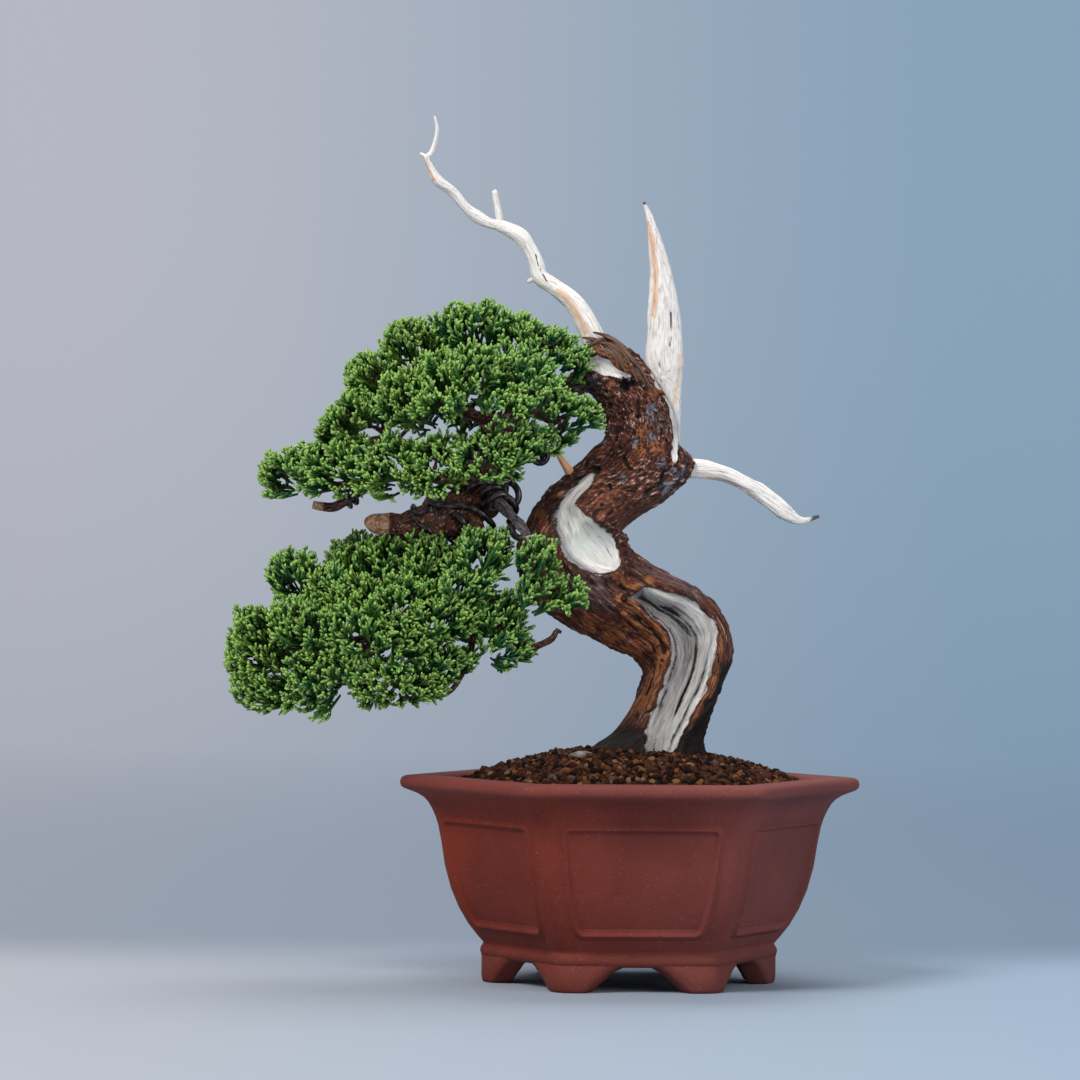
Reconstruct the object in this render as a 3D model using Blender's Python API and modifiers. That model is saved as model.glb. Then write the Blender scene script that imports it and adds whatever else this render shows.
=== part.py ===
"""Itoigawa juniper bonsai in a six-sided clay pot.

Blender 4.5, metres, +Z up. The trunk and every branch are traced in the plane of the front
view, X to the right and Z up, and Y is the depth, positive away from the viewer. Lists of
points are in millimetres and are scaled by MM where a mesh is made. The whole model hangs on
one empty, which brings the middle of its box over the origin and its feet down to Z = 0.
"""
import math

import bmesh
import bpy
import numpy as np
from mathutils import Matrix, Vector
from mathutils.bvhtree import BVHTree

MM = 0.001
GAP = 0.35                   # space left between pieces that touch
WELD = 0.00001

# Pot, measured at its corners
POT_TURN = math.radians(3)   # the pot stands a little turned to the left
POT_LIP_TOP = 71.0
POT_FLOOR_TOP = 13.5
POT_FLOOR_UNDER = 8.5
POT_OUTER = [(78.8, 71.0), (80.0, 69.8), (80.0, 67.6), (79.0, 66.5), (74.5, 64.8), (71.6, 62.6),
             (69.4, 59.6), (67.4, 54.0), (66.2, 48.0), (64.8, 40.0), (62.0, 30.0), (57.6, 21.6),
             (52.6, 15.2), (50.9, 12.8), (51.6, 11.4), (51.0, 9.4), (49.0, POT_FLOOR_UNDER)]
POT_INNER = [(46.0, POT_FLOOR_TOP), (52.0, 17.5), (57.0, 25.0), (60.0, 34.0), (61.6, 45.0),
             (62.4, 56.0), (64.4, 65.0), (66.6, POT_LIP_TOP)]
CORNER_ROUND = 3.0
PANEL_TOP, PANEL_BOTTOM = 56.0, 20.0
PANEL_SIDE = (48.0, 40.0, 31.0)    # heights where the bead's sides follow the wall's curve
PANEL_INSET = 7.6            # from the wall's vertical edge to the bead
PANEL_CORNER = 4.5
BEAD_RADIUS = 1.7
FOOT_OUTLINE = [(0, 0), (6.8, 0), (9.2, 1.9), (12.5, 4.7), (14.8, 6.8), (16.7, 7.7), (18.0, 9.3), (0, 9.3)]
FOOT_THICK = 7.0
DRAIN_RADIUS = 5.0
DRAIN_RING = 24.0

# Soil: a mound of granules inside the pot
SOIL_EDGE_RADIUS = 63.6
SOIL_EDGE_Z = 66.8
SOIL_CROWN_Z = 80.0
SOIL_RINGS = 9               # granule rows from the middle to the pot's wall
GRAIN_RELIEF = 0.8

# A grey stone half sunk in the soil and the end of a tie wire beside it
PEBBLE_AT = (-16.6, -14.5, 77.0)
PEBBLE_SIZE = (5.9, 4.6, 3.3)
TIE_WIRE = [(-24.5, -12, 70, 0.7), (-24.2, -12, 77, 0.7), (-24.8, -12, 79.6, 0.7), (-26.4, -12, 80.8, 0.7)]

# Trunk: ribs across it from its left edge to its right edge, with the depth of the middle
# and half the thickness there: left x, left z, right x, right z, depth, half thickness
TRUNK_RIBS = [
    (-6, 42, 17, 42, 0, 11), (-10, 62, 21, 62, 0, 14), (-14, 74, 25, 75, 0, 16),
    (-14, 80, 25, 82.5, 0, 16), (-5, 86, 26.5, 88, 1, 14.5), (-0.5, 92, 28.5, 93.5, 2, 14),
    (2, 97.5, 30.5, 99.5, 3, 14), (4, 102, 32.5, 105.5, 3.5, 14), (5, 105.5, 34.5, 111, 4, 14.5),
    (4.5, 108, 34.5, 117, 4.5, 15), (2, 110.5, 33.5, 122, 5, 15.5), (-1, 112.5, 30.5, 127, 4.5, 16),
    (-5.5, 114.5, 25, 132.5, 3.5, 16), (-11.5, 117.5, 19.5, 137, 2, 16.5), (-18, 121, 10, 141.5, 0, 16.5),
    (-24, 124.5, 4.5, 145, -2, 16.5), (-31, 129.5, 0, 148, -3.5, 16.5), (-36, 135.5, -3, 150.5, -4.5, 16.5),
    (-38.5, 143, -4.5, 153.5, -5, 16.5), (-39, 148, -3.5, 156, -5, 16.5), (-38, 154, -0.5, 159, -4.5, 17),
    (-35.5, 160, 3.5, 162, -3.5, 17), (-32, 165.5, 8.5, 165, -2, 16.5), (-28, 170.5, 13, 168.5, -0.5, 16),
    (-23, 175, 17.5, 173, 1, 15.5), (-17.5, 179.5, 20, 177.5, 2, 14.5), (-12, 184, 19, 181.5, 3, 13),
    (-8.5, 188, 16, 185.5, 3, 12), (-8.5, 192, 15, 190.5, 3, 11.5), (-10, 196, 14, 196.5, 3, 11.5),
    (-12, 200, 11.5, 201.5, 2.5, 11.5), (-15, 203, 8.5, 206, 2, 11), (-18, 207, 5, 211, 1, 10.5),
    (-19.5, 211, 0, 215, 0.5, 9), (-20, 215, -4, 218.5, 0, 7), (-18.5, 218.5, -8.5, 221.5, 0, 4.5)]
TRUNK_SIDES = 20
TRUNK_RINGS = 36
# Stripped strips (shari): rib number, place across the front from -1 left to 1 right,
# half width on the same scale, depth
LOWER_SHARI = [(1, 0.25, 0.3, 2.5), (3, 0.2, 0.32, 3.5), (6, 0.06, 0.45, 4.5), (9, 0.12, 0.45, 4.8),
               (11, 0.3, 0.45, 4.5), (13, 0.42, 0.38, 3.6), (14.5, 0.4, 0.25, 0.8)]
UPPER_SHARI = [(15, 0.3, 0.3, 0.8), (16.5, 0.3, 0.45, 3.6), (18.5, 0.3, 0.55, 4.2), (20.5, 0.0, 0.5, 3.8),
               (22.5, -0.45, 0.32, 2.4), (24.5, -0.7, 0.2, 0.5)]

# Live branches: x, y, z, radius
BRANCHES = {
    "main": [(-6, 1, 209, 5.2), (-17, 2, 207, 4.0), (-25.5, 4, 204, 3.6), (-34, 5, 199.5, 3.6),
             (-42.5, 5, 193, 3.7), (-48, 4, 184.5, 3.9), (-52, 3, 174.5, 4.2), (-57.5, 2, 167, 4.5),
             (-65, 1, 162, 4.6), (-73, 0, 159.5, 4.3), (-81, -1, 157.5, 3.9), (-87, -1, 158, 3.4),
             (-92.5, -1, 159.5, 2.6)],
    "crown": [(-34, 5, 199, 2.4), (-46, 4, 207, 1.8), (-53, 2, 217, 1.3)],
    "crown_right": [(-32, 5, 201, 2.0), (-31, 0, 208, 1.4), (-29, -5, 213, 1.0)],
    "upper_left": [(-43, 5, 192, 2.4), (-56, 0, 195, 1.8), (-67, 0, 200, 1.5), (-75.5, 0, 210, 1.1)],
    "middle_left": [(-50, 3, 177, 2.4), (-67, 0, 181, 1.8), (-84, 0, 186, 1.5), (-96, -3, 184.5, 1.1)],
    "shelf": [(-57.5, 1, 168, 2.4), (-64, -2, 172, 2.1), (-74, -4, 173, 1.9), (-90, -5, 169, 1.7),
              (-104, -5, 165.5, 1.5), (-115, -4, 168, 1.2)],
    "near_trunk": [(-36, 4, 198, 1.8), (-30, -4, 194, 1.3), (-27, -10, 192.5, 1.0)],
    "upper_back": [(-46, 5, 188, 2.2), (-52, 14, 193, 1.6), (-58, 22, 199, 1.2)],
    "left_back": [(-66, 1, 181, 1.6), (-78, 12, 184, 1.4), (-88, 17, 190, 1.1)],
    "lower": [(-57, 2, 165, 3.0), (-57.5, 1, 157, 2.6), (-63, 0, 145, 2.3), (-73, 2, 131, 2.0),
              (-87, 2, 117, 1.8), (-104, 0, 107, 1.5), (-119, -4, 103, 1.1)],
    "lower_right": [(-62, -1, 147, 1.9), (-53, -6, 134.5, 1.6), (-55.5, -8, 114, 1.4),
                    (-60.5, -8, 103.5, 1.1)],
    "across_trunk": [(-51, 1, 173, 2.2), (-47, -7, 166, 1.9), (-37, -19, 155, 1.6), (-31, -24, 142, 1.3),
                     (-26, -24, 131, 1.0)],
    "dead_fork": [(-53, -6, 134.5, 1.5), (-38.5, -12, 124.5, 1.3), (-30, -14, 117.5, 1.0),
                  (-25, -14, 120.5, 0.7)],
    "lower_back": [(-73, 2, 131, 1.7), (-82, 12, 131, 1.4), (-88, 18, 130, 1.1)],
    "low_back": [(-87, 2, 117, 1.6), (-93, 10, 112, 1.3), (-100, 15, 110, 1.0)],
    "lower_top": [(-66, 1, 140, 1.8), (-84, -1, 138, 1.5), (-100, 0, 134.5, 1.2), (-110, 0, 134, 1.0)],
    "lower_left": [(-86, 2, 118, 1.7), (-104, -3, 116, 1.4), (-119, -6, 114, 1.1)],
    "lower_front": [(-80, 2, 124, 1.7), (-85, -8, 118, 1.3), (-90, -12, 112, 1.0)],
    "hanging": [(-58, -8, 105, 1.2), (-64, -10, 99, 1.2), (-72, -12, 96.5, 1.1), (-80, -14, 97.5, 0.9)],
}
THICK_BRANCH = 2.5           # branches from this radius up get more sides
BRANCH_STEP = 12.0           # distance between the rings of a branch
TWIG_RADIUS = 0.85
TWIG_SHORT = 0.5             # how far a twig ends before its tufts, against their size
TWIG_LEAST = 4.0
FORK = 2.5                   # from a spray's foot to where its cores part

# Sprays of foliage: the branch that carries each, then its tufts as centre and half sizes
SPRAYS = {
    "crown": ("crown", [(-55, 0, 226, 12, 11, 8)]),
    "crown_right": ("crown_right", [(-39, -4, 223, 6.5, 8, 7.5), (-29, -7, 219.5, 5.5, 7, 6.5),
                                    (-21.5, -9, 213, 5, 7, 7)]),
    "front_right": ("crown_right", [(-39, -17, 209, 9, 8, 9), (-42, -27, 197, 6, 6, 5)]),
    "near_trunk": ("near_trunk", [(-19.5, -21, 196, 9.5, 7, 6), (-31, -24, 200, 6, 7, 6),
                                  (-25, -13, 186, 6.5, 7, 4.5)]),
    "front_middle": ("upper_left", [(-66, -17, 208, 9, 9, 8), (-53, -19, 209.5, 9, 9, 8),
                                    (-66, -28, 198, 7, 7, 5)]),
    "fingers": ("upper_left", [(-79, -20, 200, 7.5, 8, 9)]),
    "left_top": ("upper_left", [(-77, 0, 220, 9.5, 10, 8.5)]),
    "left_high": ("middle_left", [(-90, 3, 210, 9.5, 10, 6.5), (-88, 6, 199, 9, 9, 6)]),
    "left_face": ("middle_left", [(-97, -6, 196, 9, 9, 5.5), (-103, -11, 189, 8, 8, 6)]),
    "shelf_right": ("main", [(-51, -23, 180, 8.5, 9, 9), (-38, -25, 181.5, 9, 9, 9)]),
    "shelf_inner": ("middle_left", [(-68, -22, 176, 7.5, 8, 10)]),
    "shelf_middle": ("shelf", [(-84, -19, 176, 9.5, 9, 11)]),
    "shelf_outer": ("shelf", [(-104, -11, 176, 10, 10, 8.5)]),
    "shelf_tip": ("shelf", [(-121, -4, 174.5, 8.5, 10, 9)]),
    "back_crown": ("upper_back", [(-57, 20, 211, 12, 9, 8.5), (-39, 17, 205, 10, 9, 9)]),
    "back_right": ("upper_back", [(-48, 26, 189, 10, 9, 7)]),
    "back_middle": ("left_back", [(-68, 28, 198, 10, 9, 7.5)]),
    "back_left": ("left_back", [(-89, 20, 202, 11, 9, 7.5), (-104, 11, 184, 10, 9, 7)]),
    "low_tip_top": ("lower_top", [(-117, 2, 139, 9, 10, 9)]),
    "low_top_left": ("lower_top", [(-97, 4, 143.5, 8, 9, 10), (-105, -6, 134, 6, 8, 7)]),
    "low_top_middle": ("lower_top", [(-84.5, 2, 145.5, 8.5, 10, 9)]),
    "low_top_right": ("lower", [(-70, -8, 145, 8, 9, 10)]),
    "low_light": ("across_trunk", [(-51, -15, 148, 9.5, 9, 9.5)]),
    "low_trunk": ("across_trunk", [(-33, -32, 146, 7.5, 7, 8), (-32, -30, 134, 7.5, 6.5, 8),
                                   (-21, -30, 132, 6, 6.5, 8.5)]),
    "low_left_top": ("lower_left", [(-127, -4, 122.5, 9.5, 10, 7)]),
    "low_left_mid": ("lower_left", [(-130, -6, 110, 9.5, 10, 9)]),
    "low_left_end": ("lower", [(-124, -10, 99, 10.5, 9, 6)]),
    "low_left_drop": ("lower_left", [(-107, -18, 105, 9, 9, 12)]),
    "low_left_face": ("lower_left", [(-113, -15, 122, 9, 9, 9)]),
    "low_front": ("lower_front", [(-94, -21, 121, 9, 9, 9), (-79, -21, 118, 8, 8, 9)]),
    "low_hanging": ("hanging", [(-87, -20, 104, 8.5, 9, 8)]),
    "low_middle": ("lower_right", [(-63, -18, 126, 10, 9, 8), (-56, -17, 136, 8, 8, 5.5)]),
    "low_middle_left": ("lower", [(-78, -14, 132, 8.5, 9, 8)]),
    "low_front_left": ("lower_top", [(-95, -13, 132, 8.5, 9, 7)]),
    "low_right": ("dead_fork", [(-45, -15, 126, 7.5, 8, 8), (-42.5, -14, 115, 7, 7, 7)]),
    "low_right_end": ("hanging", [(-64, -13, 110, 9, 9, 7.5)]),
    "low_back_top": ("lower_back", [(-95, 19, 135, 11, 9, 9), (-75, 16, 137, 10, 9, 9)]),
    "low_back_left": ("low_back", [(-116, 12, 115, 11, 9, 9), (-103, 17, 105, 10, 8, 7)]),
    "low_back_right": ("low_back", [(-80, 18, 116, 11, 9, 9)]),
    "low_back_end": ("lower_right", [(-55, 8, 126, 9, 9, 9)]),
}
CORD_AREA = 168.0            # tuft surface for each branchlet, square millimetres
CORD_RADIUS = 1.1
CORD_MARGIN = 0.25
CORD_ROOT = 0.75             # thickness at a branchlet's root against its tip
CORD_SHARES = np.linspace(1.08, 0.44, 9)    # lengths tried against the tuft's half size
CORD_LEAST = 4.0
CORE_RADIUS = 1.0
CORE_TIP = 0.7               # thickness at a core's end against its start
SEED = 20

# Deadwood: x, z, half width, in the plane of the front view
APEX_DEPTH = [(-12, 0), (-30, 3), (-55, 6), (-72, 2)]
APEX_LINE = [(-12.5, 216, 5.0), (-13.8, 221, 4.2), (-17.5, 229, 3.7), (-22, 235, 3.2),
             (-27.5, 239.5, 2.7), (-32.5, 243, 2.7), (-34, 248, 2.5), (-36.5, 253, 2.3),
             (-40.5, 257.5, 2.2), (-46, 260.5, 2.1), (-52, 262, 1.9), (-57.5, 266, 1.8),
             (-63, 272, 1.6), (-67.5, 276, 1.5), (-70.5, 280, 1.2), (-72, 283.5, 1.0),
             (-70.5, 285.5, 0.9), (-69.3, 289, 0.75), (-68.6, 294, 0.65), (-69.5, 298.2, 0.5)]
APEX_TWIGS = [[(-46.5, 261, 1.2), (-47.5, 267, 0.9), (-48.5, 272.5, 0.6)],
              [(-32.5, 243, 1.2), (-36.5, 241.5, 0.7)], [(-72, 283.5, 0.9), (-74.3, 285.2, 0.5)]]
SPEAR_LINE = [(3, 269.3, 0.4), (5, 264.5, 1.1), (7, 256, 2.2), (9, 245.5, 3.6), (10, 235, 5.0),
              (10.6, 225, 5.8), (11, 216, 6.2), (11.4, 209, 5.4), (12, 202.5, 3.6), (13.3, 195.5, 2.0),
              (14.6, 187, 1.4), (15.2, 180, 1.2)]
SPEAR_THICK = 0.42           # thickness against width
RIGHT_LINE = [(16, 177, 3.4), (22, 177.2, 3.0), (27, 176.6, 2.8), (32.5, 175.2, 2.6), (38, 172.6, 2.5),
              (43.5, 169.4, 2.6), (48.7, 165.6, 2.8), (52.5, 162.6, 2.7), (56.5, 160, 1.6),
              (59.5, 159.6, 1.0), (62.5, 160.6, 0.7), (64.5, 161.2, 0.4)]
STUB_LINE = [(-20.5, 173.5, 1.7), (-22.5, 176.5, 1.3), (-26, 181.7, 0.8)]

# Training wires
HEAVY_WIRE = 1.2
THIN_WIRE = 0.7
WIRE_STEPS = 8               # points on each turn
# Branch, from and to as lengths along it, turns, where the first turn starts, wire radius
WINDINGS = {
    "wire_main": ("main", 86, 99.5, 2.5, 0.5, HEAVY_WIRE),
    "wire_cross": ("across_trunk", 7.5, 15, 1.75, 0.5, HEAVY_WIRE),
    "wire_lower": ("lower", 10.5, 15, 1.25, 0.4, HEAVY_WIRE),
    "wire_shelf": ("shelf", 35, 42.5, 2.0, 0.2, THIN_WIRE),
    "wire_hanging": ("lower_right", 38.5, 43.5, 1.75, 0.2, THIN_WIRE),
}
EYE = (-31.0, -5.0, 181.0, 2.2)    # the wire end bent to an eye: middle and radius
EYE_RISE = 0.29              # how far the eye's wire goes back with its turn, per radian
EYE_LEAD = [(-33, -2, 184, HEAVY_WIRE), (-37, 0, 185, HEAVY_WIRE)]


def material(name, colour, roughness, metallic=0.0):
    """One Principled BSDF material with a plain colour."""
    made = bpy.data.materials.new(name)
    made.use_nodes = True
    shader = made.node_tree.nodes["Principled BSDF"]
    shader.inputs["Base Color"].default_value = (*colour, 1.0)
    shader.inputs["Roughness"].default_value = roughness
    shader.inputs["Metallic"].default_value = metallic
    made.diffuse_color = (*colour, 1.0)
    return made


def add_object(name, mesh, collection):
    """Put a mesh in the scene as one object."""
    made = bpy.data.objects.new(name, mesh)
    collection.objects.link(made)
    return made


def mesh_from(bm, name):
    """Turn a bmesh into a mesh, with its faces pointing out."""
    bmesh.ops.recalc_face_normals(bm, faces=bm.faces[:])
    mesh = bpy.data.meshes.new(name)
    bm.to_mesh(mesh)
    bm.free()
    return mesh


def loft(rings, name):
    """Skin a row of closed rings, each with the same number of points, and close both ends."""
    bm = bmesh.new()
    rows = [[bm.verts.new(Vector(point) * MM) for point in ring] for ring in rings]
    sides = len(rows[0])
    for lower, upper in zip(rows, rows[1:]):
        for i in range(sides):
            j = (i + 1) % sides
            bm.faces.new((lower[i], lower[j], upper[j], upper[i]))
    bm.faces.new(rows[0])
    bm.faces.new(rows[-1])
    return mesh_from(bm, name)


def settle(target):
    """Replace an object's mesh by what its modifiers make of it."""
    depsgraph = bpy.context.evaluated_depsgraph_get()
    made = bpy.data.meshes.new_from_object(target.evaluated_get(depsgraph))
    target.modifiers.clear()
    target.data = made


def tube(name, points, collection, resolution=0, cyclic=False):
    """A round bar through points of x, y, z and radius, as a welded mesh object."""
    curve = bpy.data.curves.new(name, "CURVE")
    curve.dimensions = "3D"
    curve.bevel_depth = MM
    curve.bevel_resolution = resolution
    curve.use_fill_caps = not cyclic
    spline = curve.splines.new("POLY")
    spline.points.add(len(points) - 1)
    for target, (x, y, z, radius) in zip(spline.points, points):
        target.co = (x * MM, y * MM, z * MM, 1.0)
        target.radius = radius
    spline.use_cyclic_u = cyclic
    guide = add_object(name, curve, collection)
    depsgraph = bpy.context.evaluated_depsgraph_get()
    bm = bmesh.new()
    bm.from_mesh(bpy.data.meshes.new_from_object(guide.evaluated_get(depsgraph)))
    bmesh.ops.remove_doubles(bm, verts=bm.verts[:], dist=WELD)
    bpy.data.objects.remove(guide)
    return add_object(name, mesh_from(bm, name), collection)


def main_shell(mesh):
    """Keep the largest connected surface: sealed hollows are filled and scraps dropped."""
    bm = bmesh.new()
    bm.from_mesh(mesh)
    left = set(bm.faces)
    shells = []
    while left:
        stack = [left.pop()]
        shell = set(stack)
        while stack:
            for edge in stack.pop().edges:
                for face in edge.link_faces:
                    if face in left:
                        left.remove(face)
                        shell.add(face)
                        stack.append(face)
        shells.append(shell)
    keep = max(shells, key=len)
    bmesh.ops.delete(bm, geom=[face for face in bm.faces if face not in keep], context="FACES")
    bm.to_mesh(mesh)
    bm.free()


def fuse(target, pieces, solver="MANIFOLD"):
    """Join pieces to the target by one Boolean union on a collection of them."""
    group = bpy.data.collections.new(target.name + "_pieces")
    bpy.context.scene.collection.children.link(group)
    for piece in pieces:
        for holder in piece.users_collection:
            holder.objects.unlink(piece)
        group.objects.link(piece)
    union = target.modifiers.new("Union", "BOOLEAN")
    union.operation = "UNION"
    union.operand_type = "COLLECTION"
    union.collection = group
    union.solver = solver
    settle(target)
    for piece in pieces:
        bpy.data.objects.remove(piece)
    bpy.data.collections.remove(group)
    main_shell(target.data)


def cut(target, cutter):
    """Take the cutter's shape out of the target, and remove the cutter."""
    difference = target.modifiers.new("Cut", "BOOLEAN")
    difference.operation = "DIFFERENCE"
    difference.object = cutter
    difference.solver = "EXACT"
    settle(target)
    bpy.data.objects.remove(cutter)
    main_shell(target.data)


def turned_six(name, profile, collection):
    """A six-sided turned shape: the profile of corner radius and height, screwed in six steps."""
    mesh = bpy.data.meshes.new(name)
    points = [(radius * MM, 0.0, z * MM) for radius, z in profile]
    mesh.from_pydata(points, [(i, i + 1) for i in range(len(points) - 1)], [])
    made = add_object(name, mesh, collection)
    screw = made.modifiers.new("Six sides", "SCREW")
    screw.steps = screw.render_steps = 6
    screw.use_merge_vertices = True
    screw.merge_threshold = WELD
    screw.use_smooth_shade = False
    settle(made)
    return made


def wall_radius(z):
    """Corner radius of the pot's outer wall at a height."""
    heights = [point[1] for point in reversed(POT_OUTER)]
    radii = [point[0] for point in reversed(POT_OUTER)]
    return float(np.interp(z, heights, radii))


def on_wall(face, along, z):
    """Point on the pot's outer wall: wall number, distance from the wall's middle, height."""
    angle = math.radians(60 * face + 30)
    apothem = wall_radius(z) * math.cos(math.radians(30))
    outward = Vector((math.cos(angle), math.sin(angle), 0))
    sideways = Vector((-math.sin(angle), math.cos(angle), 0))
    return outward * apothem + sideways * along + Vector((0, 0, z))


def bead_frame(face, collection):
    """The raised bead round one wall's panel: its sides lean with the wall, its corners are
    quarter circles."""
    route = []
    for side, level, first in ((1, 1, 0), (-1, 1, 90), (-1, -1, 180), (1, -1, 270)):
        z_edge = PANEL_TOP if level > 0 else PANEL_BOTTOM
        for turn in (first, first + 45, first + 90):
            z = z_edge + PANEL_CORNER * (math.sin(math.radians(turn)) - level)
            half = wall_radius(z) / 2 - PANEL_INSET
            route.append((side * half + PANEL_CORNER * (math.cos(math.radians(turn)) - side), z))
        if side != level:
            heights = PANEL_SIDE if level > 0 else reversed(PANEL_SIDE)
            route += [(side * (wall_radius(z) / 2 - PANEL_INSET), z) for z in heights]
    points = [(*on_wall(face, along, z), BEAD_RADIUS) for along, z in route]
    return tube(f"bead_{face}", points, collection, cyclic=True)


def foot_plate(corner, side, collection):
    """Half of a foot: the bracket outline, stood up along one of the corner's two walls."""
    curve = bpy.data.curves.new("foot", "CURVE")
    curve.dimensions = "2D"
    curve.fill_mode = "BOTH"
    curve.extrude = FOOT_THICK / 2 * MM
    spline = curve.splines.new("POLY")
    spline.points.add(len(FOOT_OUTLINE) - 1)
    for target, (along, z) in zip(spline.points, FOOT_OUTLINE):
        target.co = (along * MM, z * MM, 0.0, 1.0)
    spline.use_cyclic_u = True
    guide = add_object("foot", curve, collection)
    angle = math.radians(60 * corner)
    start = Vector((math.cos(angle), math.sin(angle), 0)) * (wall_radius(9.4) - 0.6)
    run_angle = angle + side * math.radians(120)
    along = Vector((math.cos(run_angle), math.sin(run_angle), 0))
    inward = Vector((0, 0, 1)).cross(along) * side
    middle = start + inward * FOOT_THICK / 2
    up = Vector((0, 0, 1))
    frame = Matrix((along, up, along.cross(up))).transposed().to_4x4()
    frame.translation = middle * MM
    guide.matrix_world = frame
    depsgraph = bpy.context.evaluated_depsgraph_get()
    bm = bmesh.new()
    bm.from_mesh(bpy.data.meshes.new_from_object(guide.evaluated_get(depsgraph)))
    bmesh.ops.remove_doubles(bm, verts=bm.verts[:], dist=WELD)
    bm.transform(frame)
    bpy.data.objects.remove(guide)
    return add_object(f"foot_{corner}_{side}", mesh_from(bm, "foot"), collection)


def make_pot(parts, cutters):
    """The pot: a six-sided turned wall with a lip, a bead frame on each wall and six feet."""
    profile = [(0.0, POT_FLOOR_TOP), *POT_INNER, *POT_OUTER, (0.0, POT_FLOOR_UNDER)]
    pot = turned_six("pot", profile, parts)
    bm = bmesh.new()
    bm.from_mesh(pot.data)
    outer = []
    for edge in bm.edges:
        a, b = (vertex.co for vertex in edge.verts)
        same_corner = abs(math.atan2(a.y, a.x) - math.atan2(b.y, b.x)) < 0.01
        if same_corner and min(a.xy.length, b.xy.length) > 48.5 * MM and a.xy.length > 0:
            height = (a.z + b.z) / 2 / MM
            middle = (a.xy.length + b.xy.length) / 2 / MM
            if height < POT_LIP_TOP - 0.1 and abs(middle - wall_radius(height)) < 1.0:
                outer.append(edge)
    bmesh.ops.bevel(bm, geom=outer, offset=CORNER_ROUND * MM, segments=1, profile=0.5,
                    affect="EDGES", offset_type="OFFSET", clamp_overlap=True)
    pot.data = mesh_from(bm, "pot")
    pieces = [bead_frame(face, cutters) for face in range(6)]
    pieces += [foot_plate(corner, side, cutters) for corner in range(6) for side in (-1, 1)]
    fuse(pot, pieces, "EXACT")
    for hole in range(3):
        angle = math.radians(120 * hole)
        bpy.ops.mesh.primitive_cylinder_add(
            vertices=16, radius=DRAIN_RADIUS * MM, depth=0.02,
            location=(DRAIN_RING * MM * math.cos(angle), DRAIN_RING * MM * math.sin(angle), 0.011))
        cut(pot, bpy.context.object)
    pot.data.transform(Matrix.Rotation(POT_TURN, 4, "Z"))
    return pot


def mound_height(x, y):
    """Height of the soil: falls from the crown to the pot's wall by a power of the distance."""
    angle = math.atan2(y, x) - POT_TURN
    off_wall = (angle + math.pi / 6) % (math.pi / 3) - math.pi / 6
    corner_angle = math.pi / 6 - abs(off_wall)
    reach = math.hypot(x, y) * math.cos(corner_angle) / math.cos(math.pi / 6)
    share = min(reach / SOIL_EDGE_RADIUS, 1.0)
    return SOIL_EDGE_Z + (SOIL_CROWN_Z - SOIL_EDGE_Z) * (1 - share ** 2.2)


def make_soil(parts):
    """The soil: a six-sided filling whose top is a lattice of granules over the mound."""
    profile = [(0.0, SOIL_EDGE_Z), (SOIL_EDGE_RADIUS, SOIL_EDGE_Z)]
    profile += [(radius - 1.2 * GAP, z) for radius, z in reversed(POT_INNER[1:-2])]
    profile += [(POT_INNER[0][0] - GAP, POT_FLOOR_TOP + GAP), (0.0, POT_FLOOR_TOP + GAP)]
    soil = turned_six("soil", profile, parts)
    bm = bmesh.new()
    bm.from_mesh(soil.data)
    top = [face for face in bm.faces if min(v.co.z for v in face.verts) > (SOIL_EDGE_Z - 0.01) * MM]
    edges = list({edge for face in top for edge in face.edges})
    bmesh.ops.subdivide_edges(bm, edges=edges, cuts=SOIL_RINGS - 1, use_grid_fill=True)
    bmesh.ops.triangulate(bm, faces=bm.faces[:])
    bm.transform(Matrix.Rotation(POT_TURN, 4, "Z"))
    rng = np.random.default_rng(SEED)
    for vertex in sorted(bm.verts, key=lambda v: (round(v.co.y, 6), round(v.co.x, 6))):
        if vertex.co.z > (SOIL_EDGE_Z - 0.01) * MM:
            x, y = vertex.co.x / MM, vertex.co.y / MM
            relief = GRAIN_RELIEF * rng.uniform(-1, 1) if not vertex.is_boundary else 0
            vertex.co.z = (mound_height(x, y) + relief) * MM
    soil.data = mesh_from(bm, "soil")
    return soil


def swollen(source, cutters):
    """A copy of an object with its skin moved out by the gap, to cut room for it."""
    mesh = source.data.copy()
    bm = bmesh.new()
    bm.from_mesh(mesh)
    bm.normal_update()
    for vertex in bm.verts:
        vertex.co += vertex.normal * 1.2 * GAP * MM
    bm.to_mesh(mesh)
    bm.free()
    return add_object("room", mesh, cutters)


def make_pebble(parts):
    """The stone: a ball drawn out to three half sizes and made a little uneven."""
    bm = bmesh.new()
    bmesh.ops.create_icosphere(bm, subdivisions=2, radius=1.0)
    for vertex in bm.verts:
        x, y, z = vertex.co
        swell = 1 + 0.07 * math.sin(2.3 * x + 1.7 * y) * math.cos(2.9 * z - x)
        place = [at + size * swell * c for at, size, c in zip(PEBBLE_AT, PEBBLE_SIZE, (x, y, z))]
        vertex.co = Vector(place) * MM
    return add_object("pebble", mesh_from(bm, "pebble"), parts)


def smooth_rows(rows, place):
    """Catmull-Rom value of a table of rows at a fractional row number."""
    rows = np.asarray(rows, float)
    place = min(max(place, 0.0), len(rows) - 1.0)
    i = min(int(place), len(rows) - 2)
    t = place - i
    p0, p1, p2, p3 = (rows[min(max(i + k, 0), len(rows) - 1)] for k in (-1, 0, 1, 2))
    return 0.5 * (2 * p1 + (p2 - p0) * t + (2 * p0 - 5 * p1 + 4 * p2 - p3) * t ** 2
                  + (3 * p1 - p0 - 3 * p2 + p3) * t ** 3)


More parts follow.
